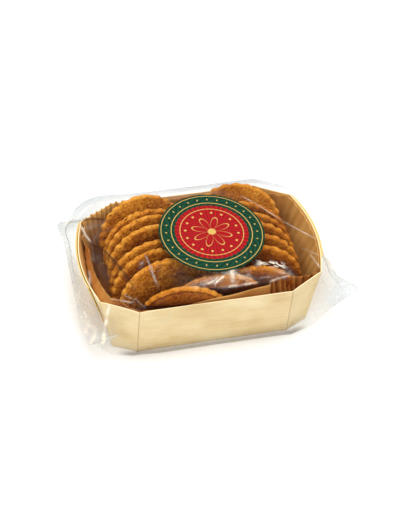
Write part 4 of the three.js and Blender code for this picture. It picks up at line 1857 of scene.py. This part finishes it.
@dataclass
class FilmBag:
    """The clear bag: taut over biscuits and rim, close to the walls, and sealed in a fin at each end."""

    shape: TrayShape
    sticker: Sticker
    milky: Milkiness = Milkiness()
    columns: tuple[int, int, int] = (150, 40, 72)
    rim_columns: tuple[int, int, int] = (60, 20, 30)
    wall_rows: tuple[Run, ...] = ((1.0, 0.52, 26), (0.51, 0.41, 14), (0.40, 0.0, 26))
    crown_rows: tuple[Run, ...] = ((0.985, 0.42, 70), (0.39, 0.05, 8))
    wall_gap: float = 0.8 * MM
    lap_clear: float = 2.0 * MM
    lap_spring: float = 1.6 * MM
    rest_gap: float = 0.6 * MM
    rim_gap: float = 0.85 * MM
    print_gap: float = 0.1 * MM
    print_margin: float = 1.5 * MM
    box_margin: float = 0.05 * MM
    back_lift: float = 3.5 * MM
    back_bulge: float = 2 * MM
    back_y: Span = (40 * MM, 58 * MM)
    left: Fin = Fin(99 * MM, 8 * MM, -12 * MM, 28 * MM, 14 * MM)
    right: Fin = Fin(100 * MM, 2 * MM, 34 * MM, 30 * MM, -9 * MM)
    fin_spread: float = 0.14
    fin_wave: float = 1.6 * MM
    fin_waves: float = 5.0
    fin_x: Span = (58 * MM, 78 * MM)
    fin_edge_down: float = 0.46
    fin_profile: tuple[Pair, ...] = (
        (0, 0), (0.22, 0.28), (0.41, 0.62), (0.46, 1.0), (0.51, 0.94), (0.7, 0.66), (1.0, 0.0)
    )
    foot: float = 0.3 * MM
    gussets: tuple[Gusset, ...] = (
        Gusset((-67 * MM, -49 * MM), (-6 * MM, -2.5 * MM), 13 * MM),
        Gusset((70 * MM, -49 * MM), (1.5 * MM, -2 * MM), 13 * MM),
    )
    foot_flare: float = 4.0 * MM
    flare_down: Span = (0.8, 1.0)
    left_flare: float = 0.4
    left_flare_x: Span = (-40 * MM, -62 * MM)
    billow: Place = (-6 * MM, 3 * MM, 3.2 * MM)
    billow_at: Pair = (-74 * MM, 58 * MM)
    billow_width: float = 22 * MM
    fold_cell: float = 13 * MM
    fold_height: float = 1.2 * MM
    fine_cell: float = 5.5 * MM
    fine_height: float = 0.4 * MM
    fold_slant: Pair = (0.2, 0.08)
    fold_fin: Span = (0.03, 0.35)
    fold_end: Span = (1.02, 0.8)
    ridge_fin: Span = (0.1, 0.4)
    ridge_from: Span = (0.86, 1.0)
    fine_from: Span = (0.88, 1.0)
    fine_ridge: float = 0.6
    ripple_cell: float = 16 * MM
    ripple_height: float = 0.1 * MM
    ripple_margin: float = 6 * MM
    # painted highlight along the ridges of the folds
    ridge_shine: float = 0.2
    shine_cell: float = 6 * MM
    shine_least: float = 0.35
    shine_noise: Span = (-0.5, 0.3)
    shine_limit: float = 0.9
    crease_rows: tuple[int, int] = (6, 2)
    front_y: Span = (-40 * MM, -46 * MM)
    # painted highlight on the film beside the front left corner
    corner_highlight: float = 0.2
    highlight_x: Span = (-70 * MM, -78 * MM)
    highlight_z: Span = (50 * MM, 42 * MM)
    # painted shadow at the foot of the front wall
    foot_shade: float = 0.42
    shade_x: Span = (76 * MM, 62 * MM)
    shade_y: Span = (-46 * MM, -52 * MM)
    shade_from: Span = (0.2 * MM, 1.2 * MM)
    shade_to: Span = (6 * MM, 3 * MM)
    low: Pair = (-100 * MM, -68 * MM)
    cell: float = 1.0 * MM
    sweeps: int = 2500
    seed: int = 77
    # crease lines with painted highlights, and two with painted shade as dark lines
    creases: tuple[Crease, ...] = (
        Crease(((38, 31.4), (64.4, 4.8), (91, -12.3)), 0.6, 0.7, 0.5, 0.12),
        Crease(((73.8, -23.3), (88.4, -29.9)), 0.6, 0.5, 0.4),
        Crease(((79.7, -28.6), (84.5, -43.3)), 0.7, 0.5, 0.4),
        Crease(((-85.9, 38.6), (-83.6, 23.5), (-80.7, 13.0)), 0.8, 0.5, 0.42),
        Crease(((-80.7, 13.0), (-81.5, 3.3), (-83.2, -6.7)), 0.6, 0.4, 0.2),
        Crease(((-87.1, -11.8), (-89.1, -28.1)), 0.8, 0.4, 0.45),
        Crease(((-66.2, 34.2), (-80.7, 13.0)), 0.5, 0.5, 0.14),
        Crease(((-77.8, -44.9), (-68.9, -49.1), (-60.2, -54.2)), 0.5, 0.5, 0.4),
        Crease(((-46.0, -17.5), (-44.2, -37.2), (-41.8, -51.2)), 0.6, 0.5, 0.3),
        Crease(((-48.3, -23.5), (-52.4, -33.3)), 1.8, 0.4, 0.22, 0.4),
        Crease(((-67.3, -44.7), (-59.1, -52.7)), 0.4, 0.5, 0.25),
        Crease(((-61.4, -49.2), (-53.2, -60.3)), 0.4, 0.5, 0.25),
        Crease(((-1.0, -56.6), (17.2, -56.5), (34.9, -54.6)), 0.5, 0.3, 0.5),
        Crease(((-1.5, -56.5), (0.4, -54.2), (4.4, -52.9), (7.5, -52.4)), 0.45, 0.5, 0.7),
        Crease(((-7.0, -54.7), (-1.4, -53.4), (2.6, -52.5)), 0.45, 0.5, 0.5),
        Crease(((39.5, -55.4), (59.6, -49.7)), 0.6, 0.3, 0.3),
        Crease(((-85.0, 42.7), (-75.6, 38.9), (-66.1, 32.7)), 0.9, 0.3, 0.0, 0.2, 0.8),
        Crease(
            ((-83.3, 14.4), (-74.2, 2.9), (-69.8, -8.8), (-63.3, -29.2), (-57.7, -45.2)),
            0.9, 0.4, 0.0, 0.2, 0.75,
        ),
        Crease(
            ((-78.2, 52.5), (-79.9, 46.6), (-81.3, 36.6), (-83.8, 23.3), (-85.5, 15.0)),
            1.1, 0.7, 0.75, 0.1, patch=Patch.FRONT,
        ),
        Crease(((-43.5, 45.5), (-38.5, 31.5)), 0.6, 0.5, 0.18, patch=Patch.FRONT),
        Crease(((-34.5, 45.5), (-38.3, 31.5)), 0.6, 0.5, 0.18, patch=Patch.FRONT),
        Crease(((-38.2, 31.0), (-40.0, 16.0)), 0.6, 0.5, 0.14, patch=Patch.FRONT),
    )
    glares: tuple[Glare, ...] = (
        Glare(8, -53.2, 22, 2.8, 4, 0.34, 3.0, 0.3),
        Glare(13, -51.8, 2.6, 1.8, 90, 0.8, 4.0, 0.6),
        Glare(45, -43.7, 11, 2.2, 3, 0.95, 1.7),
        Glare(48, -51, 14, 2.6, 14, 0.3, 4.0, 0.2),
        Glare(-77, 25, 11, 7.5, 115, 0.14, 9.0, 0.2),
        Glare(-78, -14, 16, 3.5, 100, 0.08, 20.0, 0.5),
    )

    def build(self, under: Array) -> None:
        """Builds the bag over the points of what lies under it."""
        film = ClearFilm().material()
        show("film_bag", self.bag(self.taut_top(under)), film, "clear_film", "film")

    def loose_back(self, y: Array) -> Array:
        """How much the film stands off the rim, from 0 at the front to 1 along the back."""
        return smooth(*self.back_y, y)

    def billowing(self, x: Array, y: Array) -> Array:
        """How much of the loose corner at the back left a plan point has."""
        return bump(x, self.billow_at[0], self.billow_width) * bump(y, self.billow_at[1], self.billow_width)

    def rim_height(self, x: Array, y: Array) -> Array:
        """The film's height over the rim."""
        lift = self.back_lift * self.loose_back(y) + self.billow[2] * self.billowing(x, y)
        return self.shape.height + self.rim_gap + lift

    def from_print(self, x: Array, y: Array) -> Array:
        """How far plan points are from the sticker's middle."""
        return np.hypot(x - self.sticker.middle[0], y - self.sticker.middle[1])

    def taut_top(self, under: Array) -> Array:
        """Heights of the film's top on a square grid over the plan.

        The film rests on the highest points under it and on the sticker's place. Elsewhere each height
        is the mean of its four neighbours, as in a soap film, found by repeated sweeps.

        Args:
            under: the points of what lies under the film.

        Returns:
            The heights, with x along the first axis.
        """
        low = np.array(self.low)
        count = np.round(-2.0 * low / self.cell).astype(int) + 1
        x = low[0] + self.cell * np.arange(count[0])[:, None]
        y = low[1] + self.cell * np.arange(count[1])[None, :]
        rests = np.zeros(tuple(count))
        cells = np.round((under[:, :2] - low) / self.cell).astype(int)
        np.maximum.at(rests, (cells[:, 0], cells[:, 1]), under[:, 2] + self.rest_gap)
        neighbours = list(product((0, 1), (-1, 1)))
        for axis, step in neighbours:
            rests = np.maximum(rests, np.roll(rests, step, axis))
        printed = self.from_print(x, y) < self.sticker.radius + self.print_margin
        under_print = self.sticker.height(x, y) - self.sticker.thickness - self.print_gap
        rim = self.shape.outline(RIM_LEVEL, self.shape.columns(*self.rim_columns))[0][0]
        inside = self.inside(x, y, rim)
        edge = self.rim_height(x, y)
        height = edge
        for _ in range(self.sweeps):
            mean = sum(np.roll(height, step, axis) for axis, step in neighbours) / len(neighbours)
            height = np.where(printed, under_print, np.where(inside, np.maximum(mean, rests), edge))
        return height

    def inside(self, x: Array, y: Array, outline: Array) -> Array:
        """Which plan points are inside a convex outline that runs counter-clockwise."""
        edges = zip(outline, np.roll(outline, -1, axis=0))
        return np.all([(b[0] - a[0]) * (y - a[1]) > (b[1] - a[1]) * (x - a[0]) for a, b in edges], axis=0)

    def sample(self, top: Array, x: Array, y: Array) -> Array:
        """Heights of the top, blended between the four cells round each plan point.

        Args:
            top: the heights on the square grid.
            x: places along the tray.
            y: places across it.

        Returns:
            One height for each place.
        """
        column = np.clip((x - self.low[0]) / self.cell, 0, top.shape[0] - 1.001)
        row = np.clip((y - self.low[1]) / self.cell, 0, top.shape[1] - 1.001)
        c, r = column.astype(int), row.astype(int)
        near = blend(top[c, r], top[c + 1, r], column - c)
        far = blend(top[c, r + 1], top[c + 1, r + 1], column - c)
        return blend(near, far, row - r)

    def bag(self, top: Array) -> Grid:
        """The whole bag: rows run from the foot up the walls, out to the fins and back, and over the top.

        The smooth sheet is displaced along its normal by folds and creases and kept inside the CAD box.

        Args:
            top: the taut top's heights on the square grid.

        Returns:
            The bag, with its marks veil, shine and shade.
        """
        columns = self.shape.columns(*self.columns)
        walls, fins = self.walls(columns)
        crown = self.crown(top, walls[-1])
        sheet = np.concatenate([walls, crown])
        fins = np.concatenate([fins, np.zeros(crown.shape[:2])])
        folds, ridges = self.folds(sheet, fins, self.shape.run(columns)[0][None, :])
        row = np.arange(len(sheet))[:, None] - len(walls)
        patches = {
            Patch.TOP: row >= -self.crease_rows[0],
            Patch.FRONT: (row < self.crease_rows[1]) * smooth(*self.front_y, sheet[..., 1]),
        }
        creased = [crease.mark(sheet) * patches[crease.patch] for crease in self.creases]
        lift = folds + MM * self.creases_sum("lift", creased)
        uneven = noise(sheet, self.shine_cell, self.seed + 7)
        broken = blend(self.shine_least, 1.0, smooth(*self.shine_noise, uneven))
        lines = (self.creases_sum("shine", creased) + self.ridge_shine * ridges) * broken
        glares = sum(glare.mark(sheet, self.seed + 8) for glare in self.glares) * (row >= 0)
        points = sheet + row_normals(sheet) * lift[..., None]
        low, high = (np.array(corner) for corner in CAD_BOX)
        marks = {
            "veil": self.veil(sheet, fins, walls[-1]),
            "shine": np.minimum(lines + self.corner_shine(sheet) + glares, self.shine_limit),
            # painted shade: dark creases and the painted shadow at the foot
            "shade": self.creases_sum("shade", creased) + self.foot_shading(sheet),
        }
        return Grid(
            np.clip(points, low + self.box_margin, high - self.box_margin),
            closed=True,
            last_pole=self.sticker.middle - [0, 0, self.sticker.thickness + self.print_gap],
            marks=marks,
        )

    def creases_sum(self, name: str, creased: list[Array]) -> Array:
        """The creases' marks added up, each times the crease's own value of that name."""
        return sum(getattr(crease, name) * mark for crease, mark in zip(self.creases, creased))

    def walls(self, columns: Columns) -> tuple[Array, Array]:
        """The rows from the foot to the rim, and how far each point is out in an end fin.

        On the long sides they follow the wall at a gap. At the ends each row is drawn towards the fin by
        a share that peaks half way up. At the foot the film flares out, most beside two corners.

        Args:
            columns: the columns.

        Returns:
            The points, and one share from 0 to 1 for each.
        """
        down = even_runs(*self.wall_rows)[:, None]
        plan, outward = self.shape.outline(np.array([0.0, 1.0]), columns)
        base, rim = plan + outward * self.wall_gap
        z = blend(self.rim_height(*rim.T)[None, :], self.foot, down)
        level = np.minimum(1.0, z / self.shape.height)
        flare = self.foot_flare * smooth(*self.flare_down, down)
        flare = flare * blend(1.0, self.left_flare, smooth(*self.left_flare_x, base[:, 0]))
        x, y = np.moveaxis(blend(base, rim, level[..., None]) + outward[0] * flare[..., None], -1, 0)
        at_end = smooth(*self.fin_x, np.abs(x))
        fin = np.interp(down, *np.array(self.fin_profile).T) * at_end
        clear = np.sign(x) * at_end * (self.lap_clear + self.lap_spring * level)
        bulge = self.back_bulge * self.loose_back(rim[None, :, 1]) * level
        billow = self.billowing(x, y) * smooth(0.5, 1.0, level)
        reach, height = self.fin_edge(x, y)
        moved_x = blend(x + clear, reach, fin) + self.billow[0] * billow
        moved_y = (y + bulge) * (1.0 + self.fin_spread * fin) + self.billow[1] * billow
        for gusset in self.gussets:
            near = down**3 * gusset.near(x, y)
            moved_x = moved_x + gusset.out[0] * near
            moved_y = moved_y + gusset.out[1] * near
        hung = np.where(down > self.fin_edge_down, fin**2, fin)
        return spread(moved_x, moved_y, blend(z, height, hung)), fin

    def of_fin(self, name: str, x: Array) -> Array:
        """A value of the fin at each point's end."""
        return np.where(x < 0, getattr(self.left, name), getattr(self.right, name))

    def fin_edge(self, x: Array, y: Array) -> tuple[Array, Array]:
        """How far out and how high the fin's edge is beside each point: ears grow as a fourth power.

        Args:
            x: places along the tray.
            y: places across it.

        Returns:
            The edge's x, and its height.
        """
        back = y / (self.shape.width / 2.0)
        ear = np.where(back > 0, self.of_fin("ear_back", x), self.of_fin("ear_front", x)) * back**4
        wave = self.fin_wave * np.sin(np.pi * self.fin_waves * back)
        height = self.of_fin("height", x) + self.of_fin("rise", x) * back + wave
        return np.sign(x) * (self.of_fin("reach", x) + ear), height

    def crown(self, top: Array, rim: Array) -> Array:
        """The rows from the rim in to the sticker's middle, at the heights of the taut top."""
        plan = blend(self.sticker.middle[:2], rim[:, :2], even_runs(*self.crown_rows)[:, None, None])
        return lifted(plan, self.sample(top, plan[..., 0], plan[..., 1]))

    def folds(self, points: Array, fins: Array, run: Array) -> tuple[Array, Array]:
        """How far loose film stands off, and where it is creased.

        Folds are noise of the distance round the tray, folded at its zero, so that sharp ridges run out to
        the fins; the bag paints a highlight along the ridges. There are faint ripples too, but none under
        the sticker.

        Args:
            points: the sheet.
            fins: how far each point is out in a fin.
            run: each column's distance round the tray.

        Returns:
            The heights, and the ridges' share of a crease from 0 to 1.
        """
        up, out = self.fold_slant
        across = spread(run, up * points[..., 2], out * np.abs(points[..., 0]))
        sharp = 1.0 - 2.0 * np.abs(noise(across, self.fold_cell, self.seed))
        fine = 1.0 - 2.0 * np.abs(noise(across, self.fine_cell, self.seed + 5))
        loose = smooth(*self.fold_fin, fins) * smooth(*self.fold_end, fins)
        radius = self.sticker.radius
        free = smooth(radius, radius + self.ripple_margin, self.from_print(points[..., 0], points[..., 1]))
        ripples = self.ripple_height * fractal(points, self.ripple_cell, 2, self.seed + 1) * free
        heights = (self.fold_height * sharp + self.fine_height * fine) * loose + ripples
        fine_ridges = self.fine_ridge * smooth(*self.fine_from, fine)
        ridges = np.maximum(smooth(*self.ridge_from, sharp), fine_ridges)
        return heights, ridges * smooth(*self.ridge_fin, fins)

    def veil(self, points: Array, fins: Array, rim: Array) -> Array:
        """How milky the film is at each point.

        Args:
            points: the sheet.
            fins: how far each point is out in a fin.
            rim: the row of points at the rim.

        Returns:
            One share from 0 to 1 for each point.
        """
        milky = self.milky
        x, y, z = np.moveaxis(points, -1, 0)
        blotchy = unit_noise(points, milky.cell, self.seed + 3)
        ends = smooth(*milky.ends_fin, fins) * blend(*milky.ends, blotchy)
        seal = milky.seal * smooth(*milky.seal_fin, fins)
        reach = self.from_print(x, y) / self.from_print(rim[:, 0], rim[:, 1])
        corner = self.billowing(x, y) * smooth(*milky.corner_z, z)
        back = self.loose_back(y) * smooth(*milky.back_z, z)
        loose = np.maximum(corner, back) * smooth(*milky.loose_reach, reach) * smooth(*milky.loose_z, z)
        loose = loose * blend(*milky.loose, blotchy)
        lying = sum(gusset.near(x, y, milky.lying_out) for gusset in self.gussets)
        lying = lying * smooth(*milky.lying_z, z) * blend(*milky.lying, blotchy)
        return np.minimum(ends + seal + loose + lying, milky.limit)

    def corner_shine(self, points: Array) -> Array:
        """How bright the painted highlight on the film beside the front left corner is: upright streaks
        below the rim.

        Args:
            points: the sheet.

        Returns:
            One brightness for each point.
        """
        x, y, z = np.moveaxis(points, -1, 0)
        streaky = unit_noise(points * [1.0, 1.0, 0.25], self.shine_cell, self.seed + 4)
        return self.corner_highlight * streaky * smooth(*self.highlight_x, x) * (y < 0) * smooth(*self.highlight_z, z)

    def foot_shading(self, points: Array) -> Array:
        """How dark the painted shadow on the gathered film at the foot of the front wall is: a band just
        over the ground.

        Args:
            points: the sheet.

        Returns:
            One share for each point.
        """
        x, y, z = np.moveaxis(points, -1, 0)
        front = smooth(*self.shade_y, y) * smooth(*self.shade_x, np.abs(x))
        return self.foot_shade * smooth(*self.shade_from, z) * smooth(*self.shade_to, z) * front


# Stage


@dataclass(frozen=True)
class PhotoCamera:
    """The camera that was fitted to the tray's corners in the photograph."""

    azimuth: float = -14.1
    elevation: float = 44.0
    roll: float = 2.2
    distance: float = 1106 * MM
    target: Place = (5.1 * MM, 16.05 * MM, 18.9 * MM)
    focal_px: float = 1400.0
    frame_px: float = 520.0
    sensor: float = 36.0

    def build(self) -> None:
        """Places the camera behind its target and turns it by the roll about its line of sight."""
        azimuth, elevation, roll = (math.radians(a) for a in (self.azimuth, self.elevation, self.roll))
        flat = math.cos(elevation)
        back = Vector((math.sin(azimuth) * flat, -math.cos(azimuth) * flat, math.sin(elevation)))
        right = Vector((0, 0, 1)).cross(back).normalized()
        up = back.cross(right)
        turned_right = right * math.cos(roll) + up * math.sin(roll)
        turned_up = up * math.cos(roll) - right * math.sin(roll)
        place = Vector(self.target) + back * self.distance
        data = bpy.data.cameras.new("photo_camera")
        data.sensor_width = self.sensor
        data.lens = self.focal_px / self.frame_px * self.sensor
        camera = put("photo_camera", data)
        camera.matrix_world = Matrix(
            [[*axes, p] for axes, p in zip(zip(turned_right, turned_up, back), place)] + [[0, 0, 0, 1]]
        )
        bpy.context.scene.camera = camera


@dataclass(frozen=True)
class Lamp:
    """A square soft box: where it hangs, what it points at, its side and its power."""

    name: str
    place: Place
    side: float
    power: float
    aim: Place = (0.0, 0.0, 0.03)

    def build(self) -> None:
        """Hangs the lamp and turns it to its aim."""
        data = bpy.data.lights.new(self.name, "AREA")
        data.size = self.side
        data.energy = self.power
        lamp = put(self.name, data)
        lamp.location = self.place
        lamp.rotation_euler = (Vector(self.aim) - Vector(self.place)).to_track_quat("-Z", "Y").to_euler()


@dataclass(frozen=True)
class Studio:
    """The pale floor, the soft boxes and the even light round them."""

    floor_half: float = 4.0
    floor_colour: Colour = linear(253, 254, 255)
    floor_tone: Texture = Texture(3.0, 2.0, 0.4)
    sky: float = 0.84
    lamps: tuple[Lamp, ...] = (
        Lamp("key_box", (0.05, 0.06, 1.2), 0.8, 8.5),
        Lamp("front_box", (-0.5, -1.0, 0.8), 0.7, 2.5),
    )

    def build(self) -> None:
        """Lays the floor, hangs the lamps and lights the surroundings."""
        scene = bpy.context.scene
        scene.view_settings.view_transform = "Standard"
        world = bpy.data.worlds.new("studio")
        world.use_nodes = True
        backdrop = next(n for n in world.node_tree.nodes if n.type == "BACKGROUND")
        plug(self.sky, backdrop.inputs["Strength"])
        plug((1, 1, 1, 1), backdrop.inputs["Color"])
        scene.world = world
        edge = np.linspace(-self.floor_half, self.floor_half, 3)
        mesh = Grid(spread(edge[None, :], edge[:, None], 0.0)).mesh("floor")
        graph = Graph("floor_paper")
        tone = graph.mottle(graph.place("Object"), self.floor_tone)
        graph.set(base_color=self.floor_colour, roughness=tone * 0.1 + 0.6)
        mesh.materials.append(graph.material)
        put("floor", mesh)
        for lamp in self.lamps:
            lamp.build()


def main() -> None:
    """Builds the pack in order, from the tray out to the film."""
    logging.basicConfig(level=logging.INFO, format="%(name)s %(message)s")
    PhotoCamera().build()
    Studio().build()
    shape = TrayShape()
    Tray(shape).build()
    Liner(shape).build()
    points = Biscuits().build()
    sticker = Sticker()
    sticker.build()
    FilmBag(shape, sticker).build(points)


if __name__ == "__main__":
    main()
